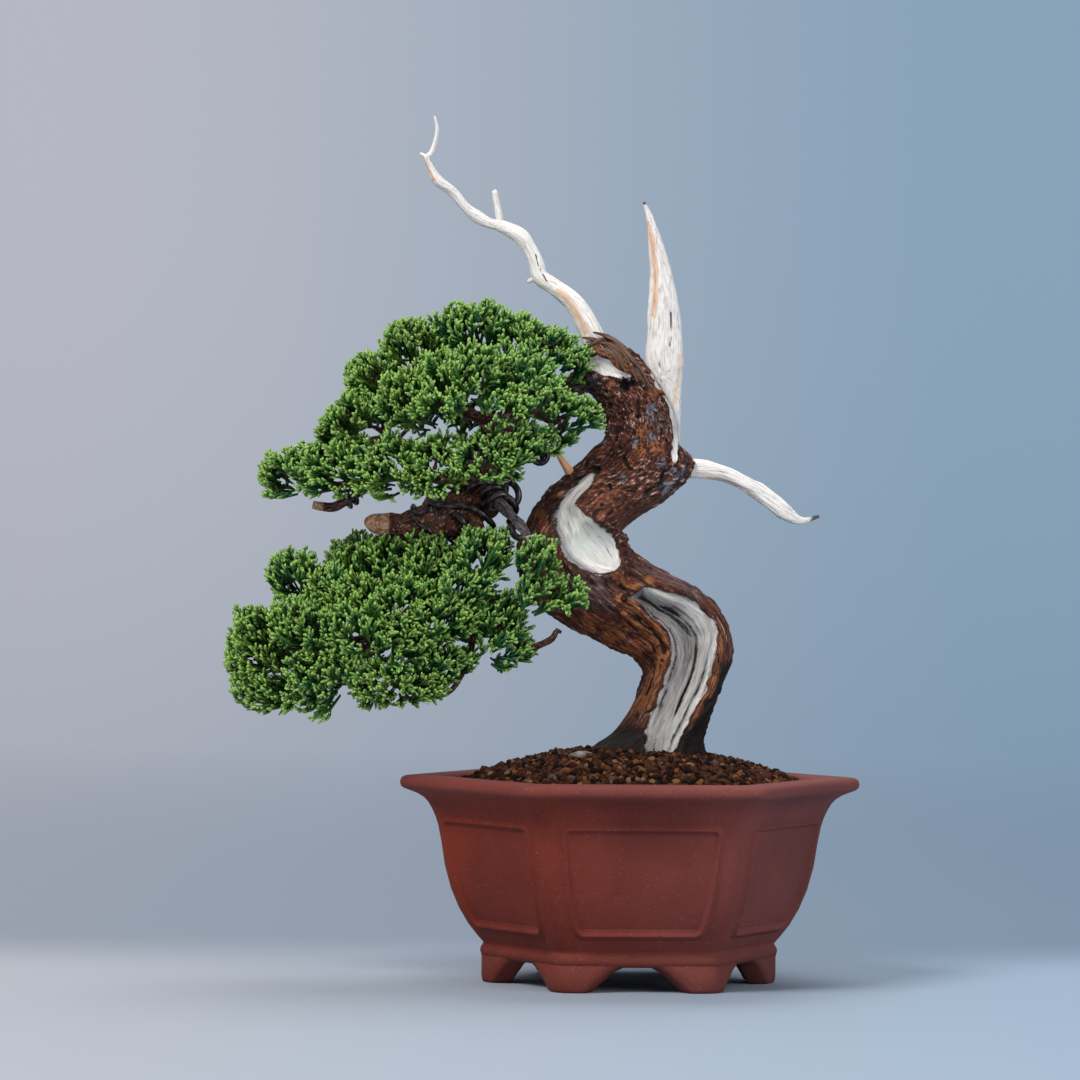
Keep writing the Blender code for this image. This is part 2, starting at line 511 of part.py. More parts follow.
def shari_depth(place, across, front, strips):
    """How deep a stripped strip cuts: its depth times a bell across the strip's width."""
    table = np.asarray(strips, float)
    if not front or place < table[0, 0] or place > table[-1, 0]:
        return 0.0
    middle, half, depth = (np.interp(place, table[:, 0], table[:, k]) for k in (1, 2, 3))
    return depth * math.exp(-((across - middle) / (0.8 * half)) ** 4)


def trunk_ring(place):
    """One ring of the trunk: an ellipse between the rib's two edges, with twisting ridges
    and the stripped strips sunk into its front."""
    lx, lz, rx, rz, depth, thick = smooth_rows(TRUNK_RIBS, place)
    middle = np.array([(lx + rx) / 2, depth, (lz + rz) / 2])
    half = np.array([(rx - lx) / 2, 0, (rz - lz) / 2])
    width = np.linalg.norm(half)
    ring = []
    for i in range(TRUNK_SIDES):
        angle = 2 * math.pi * i / TRUNK_SIDES
        ridge = 0.5 * math.cos(5 * angle + 0.55 * place) + 0.3 * math.cos(8 * angle - 0.4 * place + 1)
        sunk = sum(shari_depth(place, math.cos(angle), math.sin(angle) < -0.05, strips)
                   for strips in (LOWER_SHARI, UPPER_SHARI))
        across = half / width * (width + ridge)
        deep = np.array([0, thick + ridge - sunk, 0])
        ring.append(tuple(middle + across * math.cos(angle) + deep * math.sin(angle)))
    return ring


def trunk_mesh():
    """The trunk's bare skin, before any branch is joined to it."""
    places = np.linspace(0, len(TRUNK_RIBS) - 1, TRUNK_RINGS)
    return loft([trunk_ring(place) for place in places], "trunk")


def fine_route(points):
    """Points of a branch set along a smooth curve through its own points."""
    route = []
    for i in range(len(points) - 1):
        run = np.linalg.norm(np.subtract(points[i + 1], points[i])[:3])
        pieces = max(1, round(run / BRANCH_STEP))
        route += [tuple(smooth_rows(points, i + k / pieces)) for k in range(pieces)]
    return route + [tuple(points[-1])]


def nearest_on(points, target):
    """Nearest point to the target on a branch's line."""
    best = None
    for a, b in zip(points, points[1:]):
        a, b = np.array(a[:3], float), np.array(b[:3], float)
        share = np.clip(np.dot(target - a, b - a) / np.dot(b - a, b - a), 0, 1)
        point = a + (b - a) * share
        gap = np.linalg.norm(target - point)
        if best is None or gap < best[0]:
            best = (gap, point)
    return best[1]


def spray_root(branch, tufts):
    """Where a spray leaves the wood: a twig runs from the nearest point of its branch towards
    the middle of its tufts, and ends short of the nearest one."""
    centres = np.array([tuft[:3] for tuft in tufts], float)
    start = nearest_on(BRANCHES[branch], centres.mean(axis=0))
    along = centres.mean(axis=0) - start
    along /= np.linalg.norm(along)
    size = np.mean([tuft[3:] for tuft in tufts])
    reach = ((centres - start) @ along).min() - TWIG_SHORT * size
    return start, start + along * max(reach, TWIG_LEAST), along


def make_trunk(parts, cutters):
    """The trunk with its live branches and the twigs that carry the sprays, fused in one."""
    trunk = add_object("trunk", trunk_mesh(), parts)
    pieces = []
    for name, points in BRANCHES.items():
        thick = points[0][3] >= THICK_BRANCH
        pieces.append(tube(name, fine_route(points), cutters, resolution=1 if thick else 0))
    for name, (branch, tufts) in SPRAYS.items():
        start, end, _ = spray_root(branch, tufts)
        bend = (start + end) / 2 + np.array([0, 0, 0.06 * np.linalg.norm(end - start)])
        route = [(*start, 1.25 * TWIG_RADIUS), (*bend, TWIG_RADIUS), (*end, 0.8 * TWIG_RADIUS)]
        pieces.append(tube("twig_" + name, route, cutters))
    fuse(trunk, pieces, "EXACT")
    return trunk


def planar_tube(name, line, depth, cutters, resolution=1):
    """A round bar along a line given in the front view, at a depth read from its x."""
    table = sorted(depth)
    ys = np.interp([p[0] for p in line], [d[0] for d in table], [d[1] for d in table])
    return tube(name, [(x, y, z, r) for (x, z, r), y in zip(line, ys)], cutters, resolution)


def make_blade(name, line, thick, depth, parts, sides=8):
    """A flattened, tapering bar: ellipses square to a line in the front view."""
    rings = []
    points = np.array([(x, z) for x, z, _ in line], float)
    for i, (x, z, half) in enumerate(line):
        run = points[min(i + 1, len(line) - 1)] - points[max(i - 1, 0)]
        run /= np.linalg.norm(run)
        ring = []
        for k in range(sides):
            angle = 2 * math.pi * k / sides
            across, deep = half * math.cos(angle), thick * half * math.sin(angle)
            ring.append((x + run[1] * across, depth + deep, z - run[0] * across))
        rings.append(ring)
    return add_object(name, loft(rings, name), parts)


def winding(points, first, last, turns, start, wire):
    """Points of a wire wound round a branch from one length along it to another. The turns
    begin at a share of a turn, and the wire lies just clear of the bark."""
    route = np.array(fine_route(points))
    steps = np.linalg.norm(np.diff(route[:, :3], axis=0), axis=1)
    length = np.concatenate([[0], np.cumsum(steps)])
    made = []
    count = round(abs(turns) * WIRE_STEPS)
    for k in range(count + 1):
        at = first + (last - first) * k / count
        x, y, z, radius = (np.interp(at, length, route[:, c]) for c in range(4))
        ahead, behind = ([np.interp(at + d, length, route[:, c]) for c in range(3)] for d in (1, -1))
        run = (Vector(ahead) - Vector(behind)).normalized()
        side = run.cross(Vector((0, 1, 0))).normalized()
        back = side.cross(run)
        angle = 2 * math.pi * (start + turns * k / count)
        reach = (radius + GAP + wire) / math.cos(math.pi / WIRE_STEPS)
        place = Vector((x, y, z)) + (side * math.cos(angle) + back * math.sin(angle)) * reach
        made.append((*place, wire))
    return made


def make_wires(parts):
    """The training wires: heavy ones on the thick wood and thin ones near the tips."""
    x, y, z, reach = EYE
    eye = [(x + reach * math.cos(t), y + EYE_RISE * t, z + reach * math.sin(t), HEAVY_WIRE)
           for t in np.linspace(-0.5 * math.pi, 1.75 * math.pi, 14)]
    routes = {"wire_upper": eye + EYE_LEAD}
    for name, (branch, first, last, turns, start, wire) in WINDINGS.items():
        routes[name] = winding(BRANCHES[branch], first, last, turns, start, wire)
    return [tube(name, route, parts, resolution=2) for name, route in routes.items()]


def tuft_planes(tufts):
    """The planes that part each tuft from the others, set by their sizes towards each other."""
    centres = np.array([tuft[:3] for tuft in tufts], float)
    sizes = np.array([tuft[3:] for tuft in tufts], float)
    planes = []
    for i, centre in enumerate(centres):
        offset = np.delete(centres, i, 0) - centre
        gap = np.linalg.norm(offset, axis=1)
        normal = offset / gap[:, None]
        mine = 1 / np.linalg.norm(normal / sizes[i], axis=1)
        other = 1 / np.linalg.norm(normal / np.delete(sizes, i, 0), axis=1)
        planes.append((centre + normal * (gap * mine / (mine + other))[:, None], normal))
    return planes


def inside_cell(points, planes, margin):
    """Whether every point keeps the margin on its own side of every plane."""
    anchor, normal = planes
    return bool(np.all(np.einsum("pkj,kj->pk", points[:, None, :] - anchor, normal) < -margin))


def spread_directions(count, rng):
    """Directions even over the sphere, on a spiral from pole to pole, turned at random."""
    k = np.arange(count) + 0.5
    z = 1 - 2 * k / count
    angle = math.pi * (1 + 5 ** 0.5) * k + rng.uniform(0, 2 * math.pi)
    ring = np.sqrt(1 - z ** 2)
    return np.stack([ring * np.cos(angle), ring * np.sin(angle), z], axis=1)


def bar_distance(points, a, b):
    """Least distance from some points to the bar from a to b."""
    share = np.clip((points - a) @ (b - a) / np.dot(b - a, b - a), 0, 1)
    return np.linalg.norm(points - (a + share[:, None] * (b - a)), axis=1).min()


def tuft_cords(tuft, root, planes, clear_of, rng):
    """Branchlets of one tuft as root and tip. They start along the tuft's core and
    end on its rounded outline, each kept in its own cell and clear of wood and wires."""
    centre, size = np.array(tuft[:3], float), np.array(tuft[3:], float)
    towards = (root - centre) / np.linalg.norm(root - centre)
    a, b, c = size
    area = 4 * math.pi * (((a * b) ** 1.6 + (a * c) ** 1.6 + (b * c) ** 1.6) / 3) ** (1 / 1.6)
    cords = []
    for direction in spread_directions(round(area / CORD_AREA), rng):
        if np.dot(direction, towards) > 0.7:
            continue
        start = root + (centre - root) * rng.uniform(0.45, 1.1)
        longest = rng.uniform(0.9, 1.0)
        for share in longest * CORD_SHARES:
            tip = centre + direction * (size - CORD_RADIUS) * share
            reach = np.linalg.norm(tip - start)
            samples = start + (tip - start) * np.linspace(0.12, 1, 9)[:, None]
            in_cell = inside_cell(samples, planes, CORD_RADIUS + CORD_MARGIN)
            if reach > CORD_LEAST and in_cell and clear_of(samples):
                cords.append((start, tip))
                break
    return cords


def cord_mesh(cord, twist):
    """A three-sided branchlet, a little thicker at its blunt tip than at its root."""
    start, tip = (Vector(p) for p in cord)
    run = (tip - start).normalized()
    side = run.orthogonal().normalized()
    other = run.cross(side)
    bm = bmesh.new()
    rows = []
    for place, radius in ((start, CORD_ROOT * CORD_RADIUS), (tip, CORD_RADIUS)):
        row = []
        for k in range(3):
            angle = twist + 2 * math.pi * k / 3
            point = place + (side * math.cos(angle) + other * math.sin(angle)) * radius
            row.append(bm.verts.new(point * MM))
        rows.append(row)
    lower, upper = rows
    for i in range(3):
        bm.faces.new((lower[i], lower[(i + 1) % 3], upper[(i + 1) % 3], upper[i]))
    bm.faces.new(lower)
    bm.faces.new(upper)
    return mesh_from(bm, "branchlet")


def make_sprays(parts, cutters, obstacles, finish):
    """Every spray of foliage: a slim core from its twig to each tuft, and the branchlets."""
    trees = [BVHTree.FromObject(obstacle, bpy.context.evaluated_depsgraph_get()) for obstacle in obstacles]
    tufts, owners, cores = [], [], []
    for name, (branch, group) in SPRAYS.items():
        _, end, along = spray_root(branch, group)
        root = end + along * GAP
        fork = root + along * FORK
        for tuft in group:
            tufts.append(tuft)
            owners.append(name)
            cores.append((root, fork, np.array(tuft[:3], float)))
    planes = tuft_planes(tufts)
    rng = np.random.default_rng(SEED)
    made = []
    for name in SPRAYS:
        mine = [i for i, owner in enumerate(owners) if owner == name]
        others = [cores[i] for i, owner in enumerate(owners) if owner != name]

        def clear_of(samples):
            for point in samples:
                for tree in trees:
                    if tree.find_nearest(Vector(point) * MM)[3] / MM < CORD_RADIUS + GAP:
                        return False
            return all(bar_distance(samples, fork, end) > CORD_RADIUS + CORE_RADIUS + GAP
                       for _, fork, end in others)

        cords = []
        bars = []
        for i in mine:
            root, fork, centre = cores[i]
            bar = [(*fork, CORE_RADIUS), (*centre, CORE_TIP * CORE_RADIUS)]
            bars.append(bar if bars else [(*root, CORE_RADIUS), *bar])
            cords += tuft_cords(tufts[i], fork, planes[i], clear_of, rng)
        spray = tube("foliage_" + name, bars[0], parts)
        pieces = [tube("core", bar, cutters) for bar in bars[1:]]
        for cord in cords:
            pieces.append(add_object("branchlet", cord_mesh(cord, rng.uniform(0, 2)), cutters))
        fuse(spray, pieces)
        spray.data.materials.append(finish)
        made.append(spray)
    return made


def main():
    for existing in list(bpy.data.objects):
        bpy.data.objects.remove(existing)
    parts = bpy.data.collections.new("juniper_bonsai")
    cutters = bpy.data.collections.new("cutters")
    for group in (parts, cutters):
        bpy.context.scene.collection.children.link(group)
    clay = material("clay", (0.16, 0.045, 0.036), 0.75)
    earth = material("earth", (0.12, 0.05, 0.022), 0.95)
    bark = material("bark", (0.14, 0.05, 0.028), 0.85)
    deadwood = material("deadwood", (0.62, 0.56, 0.47), 0.8)
    orange = material("fresh_wood", (0.6, 0.26, 0.1), 0.8)
    green = material("foliage", (0.07, 0.2, 0.03), 0.6)
    stone = material("stone", (0.2, 0.21, 0.2), 0.8)
    wire = material("wire", (0.05, 0.04, 0.035), 0.45, 0.8)

    pot = make_pot(parts, cutters)
    pot.data.materials.append(clay)
    soil = make_soil(parts)
    trunk = make_trunk(parts, cutters)
    trunk.data.materials.append(bark)
    bare = add_object("bare_trunk", trunk_mesh(), cutters)
    pebble = make_pebble(parts)
    pebble.data.materials.append(stone)
    tie = tube("tie_wire", TIE_WIRE, parts)
    tie.data.materials.append(wire)
    for sunk in (bare, pebble, tie):
        cut(soil, swollen(sunk, cutters))
    soil.data.materials.append(earth)

    apex = planar_tube("jin_apex", APEX_LINE, APEX_DEPTH, parts)
    fuse(apex, [planar_tube("nub", line, APEX_DEPTH, cutters, 0) for line in APEX_TWIGS])
    spear = make_blade("jin_spear", SPEAR_LINE, SPEAR_THICK, 5.0, parts)
    right = make_blade("jin_right", RIGHT_LINE, 0.8, 2.0, parts)
    stub = planar_tube("jin_stub", STUB_LINE, [(-20, -2), (-26, -5)], parts)
    for dead, finish in ((apex, deadwood), (spear, deadwood), (right, deadwood), (stub, orange)):
        cut(dead, swollen(bare, cutters))
        dead.data.materials.append(finish)

    bpy.data.objects.remove(bare)
    wires = make_wires(parts)
    for made in wires:
        made.data.materials.append(wire)
    make_sprays(parts, cutters, [trunk, *wires], green)

    root = bpy.data.objects.new("juniper", None)
    parts.objects.link(root)
    corners = [v.co for piece in parts.objects if piece.type == "MESH" for v in piece.data.vertices]
    low = Vector([min(c[k] for c in corners) for k in range(3)])
    high = Vector([max(c[k] for c in corners) for k in range(3)])
    root.location = (-(low.x + high.x) / 2, -(low.y + high.y) / 2, -low.z)
    for piece in parts.objects:
        if piece.type == "MESH":
            piece.parent = root


main()
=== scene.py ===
"""Itoigawa juniper bonsai in its six-sided clay pot, dressed for a studio picture.

Lists of points are in millimetres from the middle of the pot, as seen from the front: X to
the right, Z up, Y away from the viewer. Every piece is built by numpy on whole arrays and
moved with the pot's middle to its place in the model.
"""

import math

import bpy
import numpy as np
from mathutils import Euler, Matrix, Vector
from mathutils.geometry import tessellate_polygon


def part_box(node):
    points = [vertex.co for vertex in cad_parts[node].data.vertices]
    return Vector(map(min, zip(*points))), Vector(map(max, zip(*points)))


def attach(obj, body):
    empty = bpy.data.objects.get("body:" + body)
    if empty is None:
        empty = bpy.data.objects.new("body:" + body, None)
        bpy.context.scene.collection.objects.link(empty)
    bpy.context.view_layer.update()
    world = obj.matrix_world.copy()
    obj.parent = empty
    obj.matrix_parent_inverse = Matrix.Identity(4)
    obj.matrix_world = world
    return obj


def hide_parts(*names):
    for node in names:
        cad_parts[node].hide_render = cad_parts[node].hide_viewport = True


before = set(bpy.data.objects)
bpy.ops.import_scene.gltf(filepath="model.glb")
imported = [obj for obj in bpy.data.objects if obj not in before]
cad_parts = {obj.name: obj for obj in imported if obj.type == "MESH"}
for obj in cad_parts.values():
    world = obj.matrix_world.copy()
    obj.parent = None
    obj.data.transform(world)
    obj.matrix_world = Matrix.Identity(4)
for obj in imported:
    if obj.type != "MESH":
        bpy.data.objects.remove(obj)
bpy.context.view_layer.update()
MM = 0.001
POT_LOW, POT_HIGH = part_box("pot")
SHIFT = np.array([(POT_LOW.x + POT_HIGH.x) / 2, (POT_LOW.y + POT_HIGH.y) / 2, 0.0]) / MM
RIGHT, BACK, UP = np.eye(3)
SIXTH = math.pi / 3
COS_30 = math.cos(SIXTH / 2)

# Camera: it looks level along Y and is rolled a little
CAMERA_AT = np.array([-31.85, -1700.0, 152.1])
CAMERA_LENS = 164.33
CAMERA_ROLL = math.radians(0.5)

# Pot, measured at its corners: radius and height, from the inside over the lip to the outside
POT_TURN = math.radians(3)
LIP_TOP = 71.0
FLOOR_TOP, FLOOR_UNDER = 13.5, 8.5
POT_PROFILE = [
    (46.0, FLOOR_TOP), (52.0, 17.5), (57.0, 25.0), (60.0, 34.0), (61.6, 45.0), (62.4, 56.0),
    (63.4, 62.0), (64.9, 67.0), (66.0, 69.6), (67.2, 70.7), (69.0, LIP_TOP), (76.6, LIP_TOP),
    (78.3, 70.8), (79.5, 70.2), (80.0, 69.2), (80.1, 68.2), (79.7, 67.2), (78.8, 66.5),
    (77.0, 65.8), (74.5, 64.8), (72.4, 63.4), (70.9, 61.8), (69.6, 59.6), (68.4, 57.0),
    (67.4, 54.0), (66.2, 48.0), (64.8, 40.0), (62.6, 32.0), (59.8, 25.4), (56.6, 20.0),
    (53.6, 16.2), (52.0, 14.4), (51.3, 13.6), (51.6, 12.9), (52.2, 12.0), (52.4, 10.8),
    (52.0, 9.4), (50.8, 8.6), (49.0, FLOOR_UNDER)]
OUTER_WALL_FROM = 13
CORNER_ROUND, LIP_ROUND = 8.0, 4.5
# The corners' rounding turns from the wall's to the lip's between two heights
LIP_FROM, LIP_TO, LIP_OUT_FROM, WALL_SHARE = 63.0, 67.0, 66.0, 0.3
PANEL_TOP, PANEL_BOTTOM, PANEL_INSET, PANEL_CORNER = 56.0, 20.0, 7.6, 2.4
BEAD_WIDTH, BEAD_HEIGHT = 0.95, 1.25
# Section of a bead, across it; the last point closes it behind the wall's face
BEAD_ACROSS = [-2.2, -1.7, -1.3, -0.85, -0.42, 0, 0.42, 0.85, 1.3, 1.7, 2.2, 0]
BEAD_SUNK, BEAD_ROOT = 0.1, -0.8
FOOT_EDGE = [
    (0, 0), (6.8, 0), (8.0, 0.6), (9.2, 1.9), (12.5, 4.7), (14.8, 6.8), (16.7, 7.7), (18.0, 8.4)]
FOOT_THICK, FOOT_TOP, FOOT_REACH, FOOT_RADIUS, FOOT_SOFT = 7.0, 9.6, 18, 51.9, 1.3
# Section of a foot: share of its thickness, 1 for its top, lift of its lower edge
FOOT_SECTION = [
    (0.02, 0, FOOT_SOFT), (0, 0, FOOT_SOFT * 2), (0, 1, 0), (1, 1, 0), (1, 0, FOOT_SOFT),
    (0.94, 0, 0.3), (0.85, 0, 0), (0.15, 0, 0), (0.06, 0, 0.35)]
DRAIN_RADIUS, DRAIN_RING, DRAIN_HOLES, DRAIN_SIDES = 5.0, 24.0, 3, 24

# Soil
SOIL_EDGE_RADIUS, SOIL_EDGE_Z, SOIL_CROWN_Z, SOIL_POWER = 63.6, 66.8, 80.0, 2.2
GRAIN_PITCH, GRAIN_SHAKE = 1.75, 0.6
# Rings of one granule: radius, turn, height. Then its two poles.
GRAIN_RINGS = [(0.6, 0.1, -0.8), (1.05, 0.6, -0.15), (0.75, 0, 0.62)]
GRAIN_POLES = [(0, 0, -0.95), (0, 0, 0.85)]
GRAIN_SIDES = 5
GRAIN_SIZE, LARGE_GRAINS, LARGE_BY = (0.85, 1.45), 0.12, 1.3
# Places without granules: middle x and y, half sizes
TRUNK_FOOT, PEBBLE_BED = (5, 0, 19.5, 15.5), (-16.6, -14.5, 5.6, 4.4)
PEBBLE_AT, PEBBLE_SIZE = (-16.6, -14.5, 77.0), (5.9, 4.6, 3.3)
TIE_WIRE = [
    (-24.5, -12, 70, 0.7), (-24.2, -12, 77, 0.7), (-24.8, -12, 79.6, 0.7), (-26.4, -12, 80.8, 0.7)]

# Trunk: left x, left z, right x, right z, depth of the middle, half thickness
TRUNK_RIBS = [
    (-6, 42, 17, 42, 0, 11), (-10, 62, 21, 62, 0, 14), (-14, 74, 25, 75, 0, 16),
    (-14, 80, 25, 82.5, 0, 16), (-5, 86, 26.5, 88, 1, 14.5), (-0.5, 92, 28.5, 93.5, 2, 14),
    (2, 97.5, 30.5, 99.5, 3, 14), (4, 102, 32.5, 105.5, 3.5, 14), (5, 105.5, 34.5, 111, 4, 14.5),
    (4.5, 108, 34.5, 117, 4.5, 15), (2, 110.5, 33.5, 122, 5, 15.5),
    (-1, 112.5, 30.5, 127, 4.5, 16), (-5.5, 114.5, 25, 132.5, 3.5, 16),
    (-11.5, 117.5, 19.5, 137, 2, 16.5), (-18, 121, 10, 141.5, 0, 16.5),
    (-24, 124.5, 4.5, 145, -2, 16.5), (-31, 129.5, 0, 148, -3.5, 16.5),
    (-36, 135.5, -3, 150.5, -4.5, 16.5), (-38.5, 143, -4.5, 153.5, -5, 16.5),
    (-39, 148, -3.5, 156, -5, 16.5), (-38, 154, -0.5, 159, -4.5, 17),
    (-35.5, 160, 3.5, 162, -3.5, 17), (-32, 165.5, 8.5, 165, -2, 16.5),
    (-28, 170.5, 13, 168.5, -0.5, 16), (-23, 175, 17.5, 173, 1, 15.5),
    (-17.5, 179.5, 20, 177.5, 2, 14.5), (-12, 184, 19, 181.5, 3, 13),
    (-8.5, 188, 16, 185.5, 3, 12), (-8.5, 192, 15, 190.5, 3, 11.5), (-10, 196, 14, 196.5, 3, 11.5),
    (-12, 200, 11.5, 201.5, 2.5, 11.5), (-15, 203, 8.5, 206, 2, 11), (-18, 207, 5, 211, 1, 10.5),
    (-19.5, 211, 0, 215, 0.5, 9), (-20, 215, -4, 218.5, 0, 7), (-18.5, 218.5, -8.5, 221.5, 0, 4.5)]
TRUNK_AROUND, TRUNK_ALONG = 176, 392
TRUNK_GRAIN_RADIUS = 16.0
TRUNK_GIRTH = 2 * math.pi * TRUNK_GRAIN_RADIUS

# Bare wood on the trunk's front, outlined in the plane Y = 0. The points before an outline's
# turn are one edge of its strip, those after are the other.
UPPER_TURN, LOWER_TURN = 14, 18
UPPER_HOLLOW = [
    (-13.2, 176.5), (-16.5, 173.6), (-19.8, 171.0), (-22.7, 168.1), (-25.6, 164.7), (-26.4, 160.9),
    (-26.8, 156.3), (-25.5, 153.0), (-24.6, 148.8), (-22.1, 145.1), (-18.7, 142.6), (-14.9, 141.0),
    (-11.2, 140.2), (-7.4, 140.6), (-5.2, 142.8), (-5.4, 146.5), (-6.3, 150.7), (-8.8, 154.4),
    (-12.2, 157.3), (-15.5, 160.6), (-17.6, 163.1), (-19.8, 163.9), (-18.9, 166.0), (-15.6, 169.8),
    (-13.6, 173.2), (-12.3, 176.1)]
LOWER_STRIP = [
    (3.5, 135.4), (7.4, 135.7), (11.8, 134.3), (16.6, 133.2), (20.9, 130.8), (24.9, 128.1),
    (27.7, 124.6), (29.5, 120.6), (29.4, 117.5), (28.4, 113.5), (27.5, 108.8), (26.3, 104.0),
    (24.8, 100.0), (22.4, 96.0), (20.5, 92.0), (19.3, 89.3), (16.2, 83.3), (14.0, 76.0),
    (5.0, 76.0), (5.5, 84.0), (5.9, 87.6), (7.0, 91.1), (8.6, 94.3), (9.7, 98.3), (10.9, 102.3),
    (11.7, 105.4), (13.2, 109.4), (14.4, 113.4), (13.9, 117.3), (12.3, 121.3), (9.9, 123.6),
    (6.7, 125.6), (4.3, 129.5), (-0.5, 132.7)]
HEAD_PATCH = [
    (-21.8, 212.1), (-19.3, 214.6), (-12.2, 215.7), (-8.0, 213.9), (-5.1, 211.0), (-0.5, 208.9),
    (-4.2, 208.0), (-9.3, 208.9), (-13.5, 210.9), (-16.0, 211.7), (-20.2, 211.9)]
EDGE_STRIP = [(6.6, 209.0), (12.9, 199.7), (14.4, 191.5), (14.8, 183.2), (14.7, 179.8)]
CALLUS_ROLL = [
    (-19.5, 164.2), (-15.6, 160.0), (-11.5, 157.8), (-7.4, 155.4), (-4.4, 150.5), (-3.2, 146.0),
    (-4.4, 141.6)]
CROSSING_ROLL = [(-7.7, 140.7), (-4.6, 138.8), (-1.4, 136.2), (1.8, 135.7)]
CROSSING_TAIL = [(-1.4, 136.4), (-2.1, 132.8), (-4.5, 130.8)]
LEFT_RIDGES = [
    [(-2.1, 132.0), (1.9, 128.1), (6.7, 124.2), (11.5, 119.5), (13.9, 114.7), (12.4, 109.2),
     (10.0, 102.8), (6.9, 94.9)],
    [(-3.0, 127.0), (3.5, 122.0), (8.5, 117.5), (10.6, 112.0), (9.0, 104.0), (5.0, 94.0)]]
COLLAR = [(17.3, 179.8), (13.8, 174.5), (10.3, 171.6), (5.7, 168.6), (2.2, 166.8)]
# Dark seams in the bark, in the plane Y = 0
SEAMS = [
    [(-8.7, 199.5), (-7.5, 195.5), (-6.3, 190.2), (-5.6, 185.5), (-3.8, 182.0), (-1.4, 177.3),
     (2.1, 174.4)],
    [(10.9, 176.3), (9.7, 173.3), (7.4, 171.0), (4.5, 169.2)],
    [(-13.2, 176.6), (-19.6, 173.1), (-24.2, 168.9), (-27.1, 164.8), (-28.3, 160.7),
     (-28.2, 155.4)],
    [(-10.9, 139.9), (-4.5, 137.2), (-1.5, 134.4), (-2.5, 131.3), (-5.7, 128.1)],
    [(12.0, 206.0), (15.4, 197.4), (16.2, 190.4), (16.0, 183.3), (15.0, 177.0)],
    [(-4.1, 209.0), (-1.0, 205.0), (1.5, 200.0), (2.0, 195.0)],
    [(-6.0, 176.0), (-8.0, 172.0), (-7.0, 168.0)]]
PEEL_STRANDS = [
    [(-15.9, 219.4), (-11.2, 217.7), (-6.4, 213.0), (-4.1, 209.0)],
    [(-13.6, 221.2), (-8.9, 221.0), (-4.1, 216.2), (-1.8, 212.1), (1.8, 208.0)],
    [(-14.5, 217.8), (-9.0, 215.6), (-4.6, 211.2)],
    [(-9.5, 219.6), (-5.0, 215.4), (-2.4, 210.6)]]
SWIRLS = [
    [(-15.4, 167.2), (-11.4, 170.2), (-7.2, 168.5), (-4.3, 164.4), (-3.6, 160.9)],
    [(-14.2, 164.9), (-10.7, 167.3), (-7.2, 165.6), (-6.0, 162.1)],
    [(-16.0, 169.8), (-11.0, 173.0), (-4.6, 171.0), (-0.6, 165.6), (-0.8, 159.8)]]
# Knots on the front: x, z, reach
KNOTS = [
    (-9.3, 203.4, 1.7), (1.3, 194.9, 1.4), (-4.8, 195.8, 1.0), (9.9, 190.6, 1.2),
    (-10.7, 164.4, 1.9), (2.1, 176.2, 1.2), (10.8, 186.8, 1.1), (-4.0, 201.3, 1.1),
    (8.9, 202.6, 1.1), (5.5, 185.6, 0.9), (-6.1, 178.5, 1.0), (13.8, 172.8, 1.2),
    (4.5, 206.0, 1.1), (-0.5, 188.0, 0.9), (6.5, 180.5, 1.0), (12.4, 181.0, 0.9),
    (0.5, 170.5, 1.0), (-12.0, 195.5, 0.9)]
# Patches on the bark: x, z, reach. The first three dark ones are also hollows.
ORANGE_PATCHES = [
    (3.1, 189.7, 2.6), (7.1, 203.2, 2.4), (2.0, 183.2, 2.4), (7.9, 184.4, 2.8), (-1.5, 178.5, 2.0),
    (-24.2, 167.2, 1.8), (-31.8, 161.2, 2.2), (-11.5, 181.9, 1.8), (-7.5, 206.5, 1.6),
    (5.8, 138.5, 2.0), (6.7, 118.6, 4.2), (10.7, 112.5, 4.0), (8.4, 104.4, 3.8), (6.1, 98.8, 3.6),
    (2.2, 94.8, 3.2), (-6.0, 120.0, 5.0), (-14.0, 124.0, 4.5), (0.5, 113.5, 4.5)]
GREY_PATCHES = [
    (6.3, 197.9, 2.3), (5.6, 195.6, 2.2), (0.8, 185.6, 1.9), (6.1, 187.9, 2.0), (9.7, 178.6, 2.0),
    (-13.4, 206.9, 2.6), (-19.9, 206.1, 2.6), (-3.2, 173.2, 1.6), (11.2, 201.8, 1.8),
    (10.5, 171.0, 3.2), (15.0, 175.5, 3.0)]
PURPLE_PATCHES = [
    (-13.2, 134.3, 8.5), (-24.0, 137.0, 7.0), (14.5, 139.3, 5.5), (6.5, 142.4, 4.5),
    (21.0, 134.0, 5.0), (-12.0, 187.0, 4.0), (9.0, 193.0, 4.0), (-33.0, 146.0, 5.0)]
DARK_PATCHES = [
    (-2.9, 205.6, 2.5), (0.4, 206.6, 1.4), (-13.2, 176.5, 2.0), (26.5, 96.0, 3.0),
    (23.5, 88.0, 4.5), (-8.0, 82.0, 6.0), (21.0, 82.0, 4.0), (-4.5, 190.5, 1.6)]
# Patches of painted shade on the bark: x, z, reach
SHADED_PATCHES = [
    (-8.0, 196.0, 4.5), (-6.5, 190.0, 4.5), (-3.0, 184.0, 4.5), (-8.5, 187.0, 3.5),
    (4.5, 168.0, 5.0), (-2.0, 172.0, 3.5), (9.6, 166.5, 5.0), (-2.0, 201.0, 4.0),
    (7.0, 173.0, 3.5), (-14.0, 180.0, 3.5), (3.0, 160.0, 5.0), (-36.0, 142.0, 5.0),
    (-30.0, 132.0, 5.0)]
